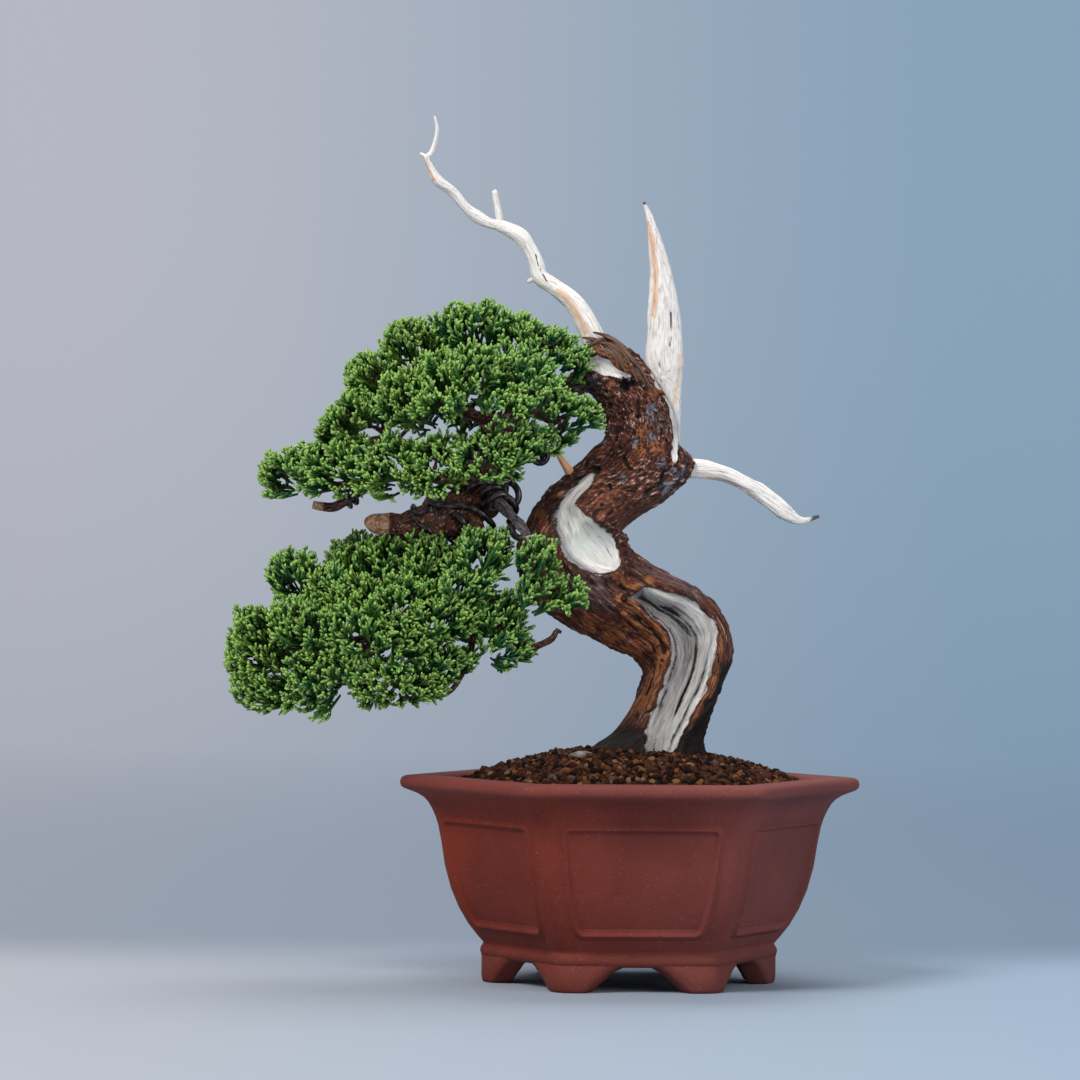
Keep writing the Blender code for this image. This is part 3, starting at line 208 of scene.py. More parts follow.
# Strands of bark that peel over the trunk's top, in the plane Y = 0
LOOSE_STRANDS = [
    [(-16.8, 217.6), (-13.5, 220.4), (-9.0, 221.2), (-4.6, 217.8), (-1.6, 213.0), (1.6, 208.6)],
    [(-17.4, 219.4), (-13.0, 218.6), (-8.6, 217.0), (-5.0, 213.4), (-2.8, 209.8)],
    [(-14.2, 223.6), (-10.6, 222.8), (-6.6, 220.6), (-3.2, 216.6), (0.6, 211.4), (3.6, 206.0)],
    [(-15.6, 216.0), (-11.0, 217.4), (-7.2, 215.4), (-4.2, 211.6)],
    [(-12.2, 220.2), (-8.2, 219.2), (-4.0, 215.2), (-0.4, 210.2), (1.2, 206.6)],
    [(-18.0, 221.8), (-14.6, 221.2), (-10.8, 219.6), (-6.6, 216.6), (-3.4, 212.4)],
    [(-9.6, 223.0), (-5.4, 220.0), (-1.2, 215.0), (2.8, 210.0), (5.8, 204.4)],
    [(-13.0, 216.8), (-9.4, 215.8), (-6.4, 213.0)]]
STRAND_LIFT = 0.9

# Live branches: x, y, z, radius
BRANCHES = {
    "main": [(-6, 1, 209, 5.2), (-17, 2, 207, 4.0), (-25.5, 4, 204, 3.6), (-34, 5, 199.5, 3.6),
        (-42.5, 5, 193, 3.7), (-48, 4, 184.5, 3.9), (-52, 3, 174.5, 4.2), (-57.5, 2, 167, 4.5),
        (-65, 1, 162, 4.6), (-73, 0, 159.0, 4.3), (-79, -1, 157.0, 4.0), (-83.5, -2, 156.9, 3.8),
        (-87, -3, 157.2, 3.5), (-90, -3.8, 157.6, 2.8), (-91.8, -4, 157.8, 1.7),
        (-92.4, -4, 157.8, 0.6)],
    "main_swelling": [(-49.5, 3.8, 181.5, 2.6), (-47.5, 2.5, 176, 3.8), (-47.5, 1, 170.5, 4.7),
        (-52, 0, 164.5, 5.6), (-60, 0, 160.3, 6.1), (-68, -0.5, 157.6, 5.5), (-76, -1, 156.6, 4.5),
        (-81, -1.5, 156.6, 3.4)],
    "knob_up": [(-73.3, -2, 159, 1.7), (-71.3, -2.5, 163.8, 1.3), (-69.9, -2.5, 167, 1.0)],
    "front_stem": [(-56.5, -3, 162, 2.3), (-53.5, -6, 157, 2.0), (-51.5, -7, 152, 1.7)],
    "shelf_stub": [(-90, -3, 170.5, 1.2), (-96, -5.5, 166.5, 1.5), (-102, -6, 163.2, 1.6),
        (-107, -6.5, 163.0, 1.5), (-110, -6.8, 163.6, 1.3)],
    "crown": [(-34, 5, 199, 2.4), (-46, 4, 207, 1.8), (-53, 2, 217, 1.3)],
    "crown_right": [(-32, 5, 201, 2.0), (-31, 0, 208, 1.4), (-29, -5, 213, 1.0)],
    "upper_left": [(-43, 5, 192, 2.4), (-56, 0, 195, 1.8), (-67, 0, 200, 1.5),
        (-75.5, 0, 210, 1.1)],
    "middle_left": [(-50, 3, 177, 2.4), (-67, 0, 181, 1.8), (-84, 0, 186, 1.5),
        (-96, -3, 184.5, 1.1)],
    "shelf": [(-57.5, 1, 168, 2.4), (-64, -1, 172, 2.0), (-74, -2, 174, 1.7), (-90, -2, 172, 1.4),
        (-104, -2, 170.5, 1.1), (-115, -2, 172, 0.8)],
    "near_trunk": [(-36, 4, 198, 1.8), (-30, -4, 194, 1.3), (-27, -10, 192.5, 1.0)],
    "upper_back": [(-46, 5, 188, 2.2), (-52, 14, 193, 1.6), (-58, 22, 199, 1.2)],
    "left_back": [(-66, 1, 181, 1.6), (-78, 12, 184, 1.4), (-88, 17, 190, 1.1)],
    "lower": [(-57, 2, 165, 3.0), (-57.5, 1, 157, 2.6), (-63, 0, 145, 2.3), (-73, 2, 131, 2.0),
        (-87, 2, 117, 1.8), (-104, 0, 107, 1.5), (-119, -4, 103, 1.1)],
    "lower_right": [(-62, -1, 147, 1.9), (-53, -6, 134.5, 1.6), (-55.5, -8, 114, 1.15),
        (-60.5, -8, 103.5, 0.85)],
    "across_trunk": [(-51, 1, 173, 2.2), (-47, -7, 166, 1.9), (-37, -19, 155, 1.6),
        (-31, -24, 142, 1.3), (-26, -24, 131, 1.0)],
    "dead_fork": [(-53, -6, 134.5, 1.4), (-45, -9, 121, 1.0), (-37, -12, 114.5, 1.0),
        (-34.5, -12.5, 115.1, 1.2), (-30.5, -13, 116.7, 1.1), (-27.4, -14, 118.6, 1.1),
        (-25.8, -14, 121.3, 0.9), (-24.2, -14, 120.6, 0.5)],
    "lower_back": [(-73, 2, 131, 1.7), (-82, 12, 131, 1.4), (-88, 18, 130, 1.1)],
    "low_back": [(-87, 2, 117, 1.6), (-93, 10, 112, 1.3), (-100, 15, 110, 1.0)],
    "lower_top": [(-66, 1, 140, 1.8), (-84, -1, 138, 1.5), (-100, 0, 134.5, 1.2),
        (-110, 0, 134, 1.0)],
    "lower_left": [(-86, 2, 118, 1.7), (-104, -3, 116, 1.4), (-119, -6, 114, 1.1)],
    "lower_front": [(-80, 2, 124, 1.7), (-85, -8, 118, 1.3), (-90, -12, 112, 1.0)],
    "hanging": [(-58, -8, 106, 0.9), (-62, -10, 100.2, 0.8), (-69, -12, 97.2, 0.65),
        (-77, -14, 98, 0.5)],
}

# Sprays of foliage: the branch that carries each, then its tufts as centre and half sizes
SPRAYS = {
    "crown": ("crown", [(-55, 0, 226, 12, 11, 8)]),
    "crown_right": ("crown_right", [(-39, -4, 223, 6.5, 8, 7.5), (-29, -7, 219.5, 5.5, 7, 6.5),
        (-21.5, -9, 213, 5, 7, 7)]),
    "front_right": ("crown_right", [(-39, -17, 209, 9, 8, 9), (-42, -27, 197, 6, 6, 5)]),
    "near_trunk": ("near_trunk", [(-19.5, -21, 196, 9.5, 7, 6), (-31, -24, 200, 6, 7, 6),
        (-25, -13, 186, 6.5, 7, 4.5)]),
    "front_middle": ("upper_left", [(-66, -17, 208, 9, 9, 8), (-53, -19, 209.5, 9, 9, 8),
        (-66, -28, 198, 7, 7, 5)]),
    "fingers": ("upper_left", [(-79, -20, 200, 7.5, 8, 9)]),
    "left_top": ("upper_left", [(-77, 0, 220, 9.5, 10, 8.5)]),
    "left_high": ("middle_left", [(-90, 3, 210, 9.5, 10, 6.5), (-88, 6, 199, 9, 9, 6)]),
    "left_face": ("middle_left", [(-97, -6, 196, 9, 9, 5.5), (-103, -11, 189, 8, 8, 6)]),
    "shelf_right": ("main", [(-51, -23, 180, 8.5, 9, 9), (-38, -25, 181.5, 9, 9, 9)]),
    "shelf_inner": ("middle_left", [(-68, -22, 176, 7.5, 8, 10)]),
    "shelf_middle": ("shelf", [(-84, -19, 176, 9.5, 9, 11)]),
    "shelf_outer": ("shelf", [(-104, -11, 176, 10, 10, 8.5)]),
    "shelf_tip": ("shelf", [(-121, -4, 174.5, 8.5, 10, 9)]),
    "back_crown": ("upper_back", [(-57, 20, 211, 12, 9, 8.5), (-39, 17, 205, 10, 9, 9)]),
    "back_right": ("upper_back", [(-48, 26, 189, 10, 9, 7)]),
    "back_middle": ("left_back", [(-68, 28, 198, 10, 9, 7.5)]),
    "back_left": ("left_back", [(-89, 20, 202, 11, 9, 7.5), (-104, 11, 184, 10, 9, 7)]),
    "low_tip_top": ("lower_top", [(-117, 2, 139, 9, 10, 9)]),
    "low_top_left": ("lower_top", [(-97, 4, 143.5, 8, 9, 10), (-105, -6, 134, 6, 8, 7)]),
    "low_top_middle": ("lower_top", [(-84.5, 2, 145.5, 8.5, 10, 9)]),
    "low_top_right": ("lower", [(-70, -8, 145, 8, 9, 10)]),
    "low_light": ("across_trunk", [(-51, -15, 148, 9.5, 9, 9.5)]),
    "low_trunk": ("across_trunk", [(-33, -32, 146, 6.2, 6, 7), (-32, -30, 134, 6.2, 5.8, 7),
        (-21, -30, 132, 4.6, 5.2, 6.8)]),
    "low_left_top": ("lower_left", [(-127, -4, 122.5, 9.5, 10, 7)]),
    "low_left_mid": ("lower_left", [(-130, -6, 110, 9.5, 10, 9)]),
    "low_left_end": ("lower", [(-124, -10, 99, 10.5, 9, 6)]),
    "low_left_drop": ("lower_left", [(-107, -18, 105, 9, 9, 12)]),
    "low_left_face": ("lower_left", [(-113, -15, 122, 9, 9, 9)]),
    "low_front": ("lower_front", [(-94, -21, 121, 9, 9, 9), (-79, -21, 118, 8, 8, 9)]),
    "low_hanging": ("hanging", [(-87, -20, 103, 8.5, 9, 8), (-73, -18, 102.5, 8, 8, 6.5)]),
    "low_middle": ("lower_right", [(-63, -18, 126, 10, 9, 8), (-56, -17, 136, 8, 8, 5.5)]),
    "low_middle_left": ("lower", [(-78, -14, 132, 8.5, 9, 8)]),
    "low_front_left": ("lower_top", [(-95, -13, 132, 8.5, 9, 7)]),
    "low_right": ("dead_fork", [(-45, -15, 126, 7.5, 8, 8), (-42.5, -14, 115, 7, 7, 7)]),
    "low_right_end": ("hanging", [(-63, -14, 109, 9, 9, 7.5)]),
    "low_back_top": ("lower_back", [(-95, 19, 135, 11, 9, 9), (-75, 16, 137, 10, 9, 9)]),
    "low_back_left": ("low_back", [(-116, 12, 115, 11, 9, 9), (-103, 17, 105, 10, 8, 7)]),
    "low_back_right": ("low_back", [(-80, 18, 116, 11, 9, 9)]),
    "low_back_end": ("lower_right", [(-55, 8, 126, 9, 9, 9)]),
}
# Fronds on a tuft of the middle size, side cords on each and tips on each side cord
FRONDS_ON_TUFT = 19
SIDES_ON_FROND = 6
TIPS_ON_SIDE = 2
TUFT_GROWTH = np.array([1.36, 1.22, 1.36])
MIDDLE_TUFT = 8.5
# Height between the upper and the lower pad
PADS_PART = 160.0
CORD_RADIUS, NEW_GROWTH = 0.52, 2.0
PAD_CENTRES = np.array([(-60.0, 2.0, 188.0), (-84.0, 0.0, 116.0)])
# How far the two pads reach in the plane Y = 0
UPPER_PAD = [
    (-128.5, 175), (-126, 180.5), (-116.5, 182), (-106, 185), (-101.5, 187), (-108, 188.5),
    (-107.5, 193.5), (-97.5, 201.5), (-99.5, 209), (-94, 215.5), (-87, 218.5), (-85.5, 225),
    (-81, 228), (-67.5, 229), (-62.5, 235), (-57, 233), (-50, 235.5), (-43, 228), (-38.5, 232),
    (-32, 225), (-28, 226), (-17.5, 221.5), (-12.5, 216), (-19.5, 207.5), (-24, 203.5),
    (-13.5, 199.5), (-10, 194), (-17, 190.5), (-25, 183.5), (-33, 183.5), (-39.5, 173),
    (-50.5, 173.5), (-61, 172.5), (-63.5, 165.5), (-71.5, 168), (-78.5, 165.5), (-93, 167),
    (-102, 166), (-119.5, 169.5), (-128, 165.5), (-124.5, 170)]
LOWER_PAD = [
    (-139.5, 112.5), (-136, 127.5), (-124, 127), (-121, 131), (-126, 139.5), (-122.5, 147.5),
    (-119, 149), (-107, 146), (-105, 143), (-103.5, 151.5), (-99.5, 148), (-96, 155.5),
    (-88.5, 154), (-80.5, 155), (-70.5, 155), (-62, 150.5), (-59, 155), (-52, 156.5), (-44, 155.5),
    (-41.5, 150), (-47.5, 141.5), (-41, 139), (-38, 151), (-33.5, 154), (-25.5, 150.5), (-26, 145),
    (-16.5, 138.5), (-14, 131), (-21.5, 129), (-27, 121.5), (-32, 113.5), (-38, 111.5),
    (-44.5, 107), (-51.5, 112), (-54.5, 109.5), (-67, 97), (-77, 97), (-91.5, 91), (-93, 97),
    (-95.5, 103.5), (-102, 99), (-105.5, 89.5), (-125, 92.5), (-139, 99), (-138, 104.5)]

# Deadwood: x, z, half width, in the plane of the front view. Depths are tables of x and depth.
APEX_DEPTH, SPEAR_DEPTH, RIGHT_DEPTH = [(-12, 0), (-30, 3), (-55, 6), (-72, 2)], [(0, 5)], [(0, 2)]
STUB_DEPTH = [(-20, -2), (-26, -5)]
APEX_LINE = [
    (-12.5, 216, 5.0), (-13.8, 221, 4.2), (-17.5, 229, 3.7), (-22, 235, 3.2), (-27.5, 239.5, 2.7),
    (-32.5, 243, 2.7), (-34, 248, 2.5), (-36.5, 253, 2.3), (-40.0, 257.3, 2.7), (-46, 260.5, 2.1),
    (-50, 261.5, 1.7), (-54.5, 263.8, 2.2), (-58.5, 267, 1.6), (-63, 272, 1.6), (-68.2, 276, 1.9),
    (-70.5, 280, 1.2), (-72, 283.5, 1.0), (-70.5, 285.5, 0.9), (-69.3, 289, 0.75),
    (-68.6, 294, 0.65), (-69.5, 298.2, 0.4)]
APEX_TWIGS = [
    [(-45.5, 259.5, 1.7), (-46.5, 261.8, 1.35), (-47.5, 267, 1.15), (-48.5, 272.2, 0.95),
     (-48.7, 272.9, 0.5)],
    [(-31.5, 243.5, 1.6), (-34, 242.6, 1.1), (-36.8, 241.3, 0.6)],
    [(-71.5, 283.0, 1.0), (-73, 284.4, 0.7), (-74.5, 285.3, 0.4)]]
SPEAR_LINE = [
    (3, 269.3, 0.4), (5, 264.5, 1.1), (7, 256, 2.2), (9, 245.5, 3.6), (10, 235, 5.0),
    (10.6, 225, 5.8), (10.6, 216, 6.4), (11.2, 211.4, 6.2), (12.6, 207.5, 4.4), (13.8, 203.2, 2.7),
    (14.7, 198.6, 1.7), (15.0, 193.9, 1.3), (15.1, 188, 1.2), (15.1, 182.2, 1.0),
    (14.6, 176.3, 0.6)]
RIGHT_LINE = [
    (14, 177, 3.6), (18, 177.1, 3.3), (22, 177.2, 3.0), (27, 176.6, 2.8), (32.5, 175.2, 2.6),
    (38, 172.6, 2.5), (43.5, 169.4, 2.6), (48.7, 165.6, 2.8), (52.5, 162.6, 2.7), (56.5, 160, 1.6),
    (59.5, 159.6, 1.0), (62.5, 160.6, 0.7), (64.5, 161.2, 0.4)]
STUB_LINE = [(-19.0, 172.0, 1.8), (-20.5, 173.5, 1.7), (-22.5, 176.5, 1.3), (-26, 181.7, 0.8)]

# Marks on the deadwood: strength, width, then a line in the plane Y = 0
MARKS = {
    "leader_orange": [(1, 1.2, [(-26, 238), (-22, 233.6), (-19.2, 229.5), (-16.3, 224)]),
                      (1, 0.9, [(-73.5, 283.5), (-71.5, 279.5), (-69.5, 276)])],
    "leader_crack": [(1, 0.32, [(-34.2, 250.5), (-33.0, 246.0), (-30.0, 240.8)])],
    "spear_orange": [(1, 1.2, [(4.0, 262), (6.2, 254), (7.0, 246), (7.2, 238), (6.6, 230)]),
                     (0.6, 1.5, [(16.0, 216), (15.0, 206), (13.5, 198)])],
    "spear_crack": [(1, 0.36, [(12.6, 231), (12.8, 223), (12.2, 217)]),
                    (1, 0.27, [(8.4, 226), (8.6, 214), (9.4, 207)])],
    "right_orange": [(0.6, 0.8, [(24, 174.8), (34, 172.2), (42, 167.6)])],
}

# Training wires
HEAVY_WIRE, THIN_WIRE = 1.2, 0.7
GAP = 0.35
# Branch, from and to as lengths along it, turns, where the first turn starts, wire radius
WINDINGS = {
    "wire_main": ("main", 82, 92, 1.25, 0.5, THIN_WIRE),
    "wire_cross": ("across_trunk", 7.5, 15, 1.75, 0.5, HEAVY_WIRE),
    "wire_lower": ("lower", 10.5, 15, 1.25, 0.4, HEAVY_WIRE),
    "wire_shelf": ("shelf_stub", 6, 12, 2.5, 0.2, THIN_WIRE),
    "wire_hanging": ("lower_right", 38.5, 43.5, 1.75, 0.2, THIN_WIRE),
}
# Bends of wire that lie on the front of the wood: radius, then x, y, z
FRONT_WIRES = {
    "wire_main": [
        (HEAVY_WIRE, [(-70, 1, 166), (-69.5, -3, 164.9), (-66.4, -5.6, 163.9),
         (-61.6, -6.6, 163.6), (-57.5, -7, 163.6), (-54, -7, 162.3), (-50.9, -6.6, 160.2),
         (-48.2, -5, 157.1), (-48.4, -1, 155.1)]),
        (HEAVY_WIRE, [(-61.6, -7.0, 160.8), (-59.5, -7.4, 159.8), (-57.8, -7, 157),
         (-57.4, -5, 154.5)]),
        (THIN_WIRE, [(-76, -3, 163), (-75.4, -5, 161.4), (-73.3, -5.8, 160.7),
         (-71.3, -5.5, 161.8), (-70.5, -3, 163.5)]),
        (THIN_WIRE, [(-75.5, -3, 160.5), (-74.7, -5.4, 158.5), (-71.5, -6.2, 155.8),
         (-69, -4, 152.4)]),
        (THIN_WIRE, [(-71, -6, 157.5), (-69.8, -6.6, 154.8), (-66.7, -5, 152.4)])],
    "wire_cross": [
        (HEAVY_WIRE, [(-57, -2, 168.6), (-55.1, -5, 170.4), (-52.7, -6.5, 171.8),
         (-49.3, -7, 171.8), (-45.5, -6.5, 171.6), (-42.1, -5, 172.7), (-40, -2, 174.5)]),
        (HEAVY_WIRE, [(-52, -5.5, 163.6), (-50.3, -7.5, 165), (-47.9, -8.6, 166.8),
         (-44.4, -9, 167.2), (-41.6, -9, 165.5), (-40.2, -8, 162.7), (-41.2, -6, 160.8)]),
        (HEAVY_WIRE, [(-42.6, -3, 172), (-41, -5, 171), (-39.6, -5.6, 168.9), (-39.4, -6, 166.2),
         (-40.6, -6, 164)]),
        (HEAVY_WIRE, [(-42.4, -11, 158.4), (-41.6, -14.6, 156.8), (-40.9, -17, 154.1),
         (-38.8, -19.5, 152.7), (-34.8, -21.5, 153.1), (-33, -20, 154.5)])],
    "wire_lower": [
        (HEAVY_WIRE, [(-60.5, 0, 169), (-59.9, -3.4, 170.8), (-58.9, -3.6, 172.9),
         (-56.1, -3, 173.6)])],
}
EYE = (-32.2, -5.0, 181.2, 2.5)
EYE_RISE = 0.29
EYE_LEAD = [(-33, -2, 184, HEAVY_WIRE), (-37, 0, 185, HEAVY_WIRE)]
TURN_STEPS = 28


# Shader maths
class Socket:
    """An output of a material's node tree. + - * on it add Math nodes."""

    def __init__(self, tree, output=None):
        self.tree = tree
        self.output = output

    def node(self, kind, settings=None, sockets=None, output=0):
        """Add one node: its settings are set first, then its sockets are filled or linked."""
        made = self.tree.nodes.new(kind)
        for name, value in (settings or {}).items():
            setattr(made, name, value)
        for key, value in (sockets or {}).items():
            if isinstance(value, Socket):
                self.tree.links.new(value.output, made.inputs[key])
            else:
                made.inputs[key].default_value = value
        return Socket(self.tree, made.outputs[output])

    def maths(self, operation, *terms):
        return self.node("ShaderNodeMath", {"operation": operation}, dict(enumerate(terms)))

    def __add__(self, other):
        return self.maths("ADD", self, other)

    def __radd__(self, other):
        return self.maths("ADD", other, self)

    def __sub__(self, other):
        return self.maths("SUBTRACT", self, other)

    def __rsub__(self, other):
        return self.maths("SUBTRACT", other, self)

    def __mul__(self, other):
        return self.maths("MULTIPLY", self, other)

    def rise(self, low, high):
        """0 below low, 1 above high, smooth between them."""
        return self.node("ShaderNodeMapRange", {"interpolation_type": "SMOOTHSTEP"},
                         {"Value": self, "From Min": low, "From Max": high})

    def attribute(self, name, output="Fac"):
        """A value stored on the piece's points."""
        return self.node("ShaderNodeAttribute", {"attribute_name": name}, output=output)

    def place(self):
        """Place in the object's own frame, in metres."""
        return self.node("ShaderNodeTexCoord", output="Object")

    def part(self, name):
        """X, Y or Z of a vector."""
        return self.node("ShaderNodeSeparateXYZ", None, {0: self}, name)

    def noise(self, scale, detail=4.0, roughness=0.55, stretch=None):
        """Noise at a vector, whose parts are first multiplied by the stretch."""
        vector = self
        if stretch:
            vector = self.node("ShaderNodeVectorMath", {"operation": "MULTIPLY"}, {0: self, 1: stretch})
        return self.node("ShaderNodeTexNoise", None,
                         {"Vector": vector, "Scale": scale, "Detail": detail, "Roughness": roughness})

    def cells(self, scale):
        """Distance to the nearest of some scattered points, in cells."""
        return self.node("ShaderNodeTexVoronoi", None, {"Vector": self, "Scale": scale}, "Distance")

    def between(self, factor, first, second):
        """Number between two others; the factor 0 keeps the first one."""
        return self.node("ShaderNodeMix", {"data_type": "FLOAT"}, {0: factor, 2: first, 3: second})

    def mix(self, factor, first, second):
        """Blend two colours; the factor 0 keeps the first one."""
        colours = {0: factor}
        for slot, colour in ((6, first), (7, second)):
            colours[slot] = colour if isinstance(colour, Socket) else (*colour, 1.0)
        return self.node("ShaderNodeMix", {"data_type": "RGBA"}, colours, 2)

    def bump(self, height, strength, distance):
        return self.node("ShaderNodeBump", None,
                         {"Height": height, "Strength": strength, "Distance": distance}, "Normal")

    def surface(self, colour, rough, height, strength, distance, gloss=None):
        """Inputs of a surface: colour, roughness, relief and, if given, specular level."""
        inputs = {"Base Color": colour, "Roughness": rough,
                  "Normal": self.bump(height, strength, distance)}
        return inputs if gloss is None else {**inputs, "Specular IOR Level": gloss}


def material(name, paint):
    """A Principled BSDF material whose inputs are filled from what the paint function returns."""
    made = bpy.data.materials.new(name)
    made.use_nodes = True
    tree = made.node_tree
    shader = tree.nodes["Principled BSDF"]
    for key, value in paint(Socket(tree)).items():
        if isinstance(value, Socket):
            tree.links.new(value.output, shader.inputs[key])
        else:
            shader.inputs[key].default_value = value
    return made


def clay_paint(s):
    """Unglazed brown-red clay, duller on its right: soft cloudy patches, fine pale specks, tiny
    dark pits, a paler lip and a darker foot."""
    place = s.place()
    clouds = place.noise(28.0, 5.0)
    specks = 1.0 - place.cells(1150.0).rise(0.05, 0.22)
    chosen = place.noise(420.0, 2.0).rise(0.52, 0.62)
    pits = place.noise(1300.0, 3.0).rise(0.58, 0.72)
    lip = place.part("Z").rise(0.0635, 0.069)
    foot = 1.0 - place.part("Z").rise(0.004, 0.02)
    side = place.part("X").rise(-0.04, 0.1)
    dull = s.mix(side, (0.146, 0.018, 0.009), (0.146, 0.037, 0.032))
    warm = s.mix(side, (0.2, 0.028, 0.014), (0.196, 0.051, 0.044))
    colour = s.mix(clouds.rise(0.35, 0.68), dull, warm)
    colour = s.mix(lip * 0.42, colour, (0.19, 0.06, 0.053))
    colour = s.mix(foot * 0.35, colour, (0.085, 0.03, 0.024))
    colour = s.mix(pits * 0.5, colour, (0.06, 0.02, 0.016))
    colour = s.mix(specks * chosen * 0.75, colour, (0.42, 0.27, 0.2))
    relief = place.noise(1500.0, 4.0, 0.65) + place.noise(240.0) * 1.4
    return s.surface(colour, 0.62 + clouds * 0.2, relief, 0.28, 0.0006, 0.2)


def soil_paint(s):
    """The ground between the granules: dark brown crumbs, with painted shade, near black, in the gaps
    between them.
    """
    place = s.place()
    crumb = place.cells(700.0)
    colour = s.mix(place.noise(420.0).rise(0.35, 0.7), (0.01, 0.004, 0.002), (0.05, 0.018, 0.008))
    # Painted shade: the gaps between the crumbs are near black
    colour = s.mix(crumb.rise(0.25, 0.75), colour, (0.006, 0.003, 0.002))
    return s.surface(colour, 0.95, 1.0 - crumb, 0.8, 0.0012, 0.1)


def granule_paint(s):
    """Porous granules, each with its own tone of brown; a few are orange, tan or grey."""
    hue = s.attribute("hue")
    colour = s.mix(s.attribute("tone"), (0.0025, 0.0008, 0.0003), (0.088, 0.031, 0.0145))
    colour = s.mix(hue.rise(0.87, 0.9), colour, (0.16, 0.058, 0.02))
    colour = s.mix(hue.rise(0.955, 0.97), colour, (0.2, 0.1, 0.045))
    colour = s.mix(hue.rise(0.985, 0.99), colour, (0.08, 0.062, 0.052))
    pores = s.place().noise(2600.0, 3.0, 0.7)
    colour = s.mix(pores.rise(0.52, 0.72) * 0.6, colour, (0.006, 0.003, 0.002))
    return s.surface(colour, 0.92, pores, 0.5, 0.0005, 0.12)


def stone_paint(s):
    """A grey weathered stone with paler spots, brown stains and dark pits."""
    place = s.place()
    mottle = place.noise(320.0, 6.0, 0.6)
    pits = place.noise(1500.0, 3.0)
    colour = s.mix(mottle.rise(0.35, 0.65), (0.09, 0.095, 0.095), (0.3, 0.31, 0.3))
    colour = s.mix(place.noise(140.0, 3.0).rise(0.55, 0.7) * 0.6, colour, (0.13, 0.075, 0.045))
    colour = s.mix(pits.rise(0.6, 0.7) * 0.5, colour, (0.04, 0.04, 0.04))
    return s.surface(colour, 0.78, mottle + pits * 0.5, 0.35, 0.0008)


def bare_wood(s, grain):
    """Colour and relief of bleached wood: long fibres, silver-grey weathering and dark cracks."""
    fibre = grain.noise(1.5, 5.0, 0.6, (1.0, 1.0, 0.12))
    fine = grain.noise(2.0, 4.0, 0.6, (3.2, 3.2, 0.25))
    crack = 1.0 - grain.noise(1.2, 3.0, 0.5, (1.5, 1.5, 0.06)).rise(0.31, 0.36)
    colour = s.mix(fibre.rise(0.36, 0.58), (0.62, 0.56, 0.52), (0.96, 0.91, 0.87))
    colour = s.mix(grain.noise(0.16, 3.0).rise(0.45, 0.62) * 0.5, colour, (0.9, 0.9, 0.86))
    colour = s.mix(fine.rise(0.56, 0.7) * 0.24, colour, (0.42, 0.33, 0.27))
    colour = s.mix(crack * 0.6, colour, (0.12, 0.08, 0.06))
    return colour, fibre + fine * 0.5 - crack * 0.8


def deadwood_paint(s):
    """Stripped jin wood, pinkish white, with orange streaks and dark marks where they are stored."""
    grain = s.attribute("grain", "Vector")
    colour, relief = bare_wood(s, grain)
    streaks = grain.noise(1.3, 3.0, stretch=(1.0, 1.0, 0.1))
    orange = s.mix(streaks.rise(0.4, 0.6), (0.55, 0.25, 0.11), (0.86, 0.56, 0.34))
    streaked = (s.attribute("orange") + (streaks - 0.5) * 2.2).rise(0.35, 0.75)
    colour = s.mix(streaked * 0.8, colour, orange)
    colour = s.mix(s.attribute("dark").rise(0.25, 0.8) * 0.92, colour, (0.03, 0.02, 0.016))
    return s.surface(colour, 0.74, relief, 0.5, 0.0006, 0.3)


def fresh_wood_paint(s):
    """Orange wood cut not long ago."""
    fibre = s.attribute("grain", "Vector").noise(1.6, 5.0, stretch=(1.4, 1.4, 0.2))
    colour = s.mix(fibre.rise(0.35, 0.65), (0.74, 0.29, 0.12), (1.0, 0.6, 0.34))
    return s.surface(colour, 0.7, fibre, 0.5, 0.0004)


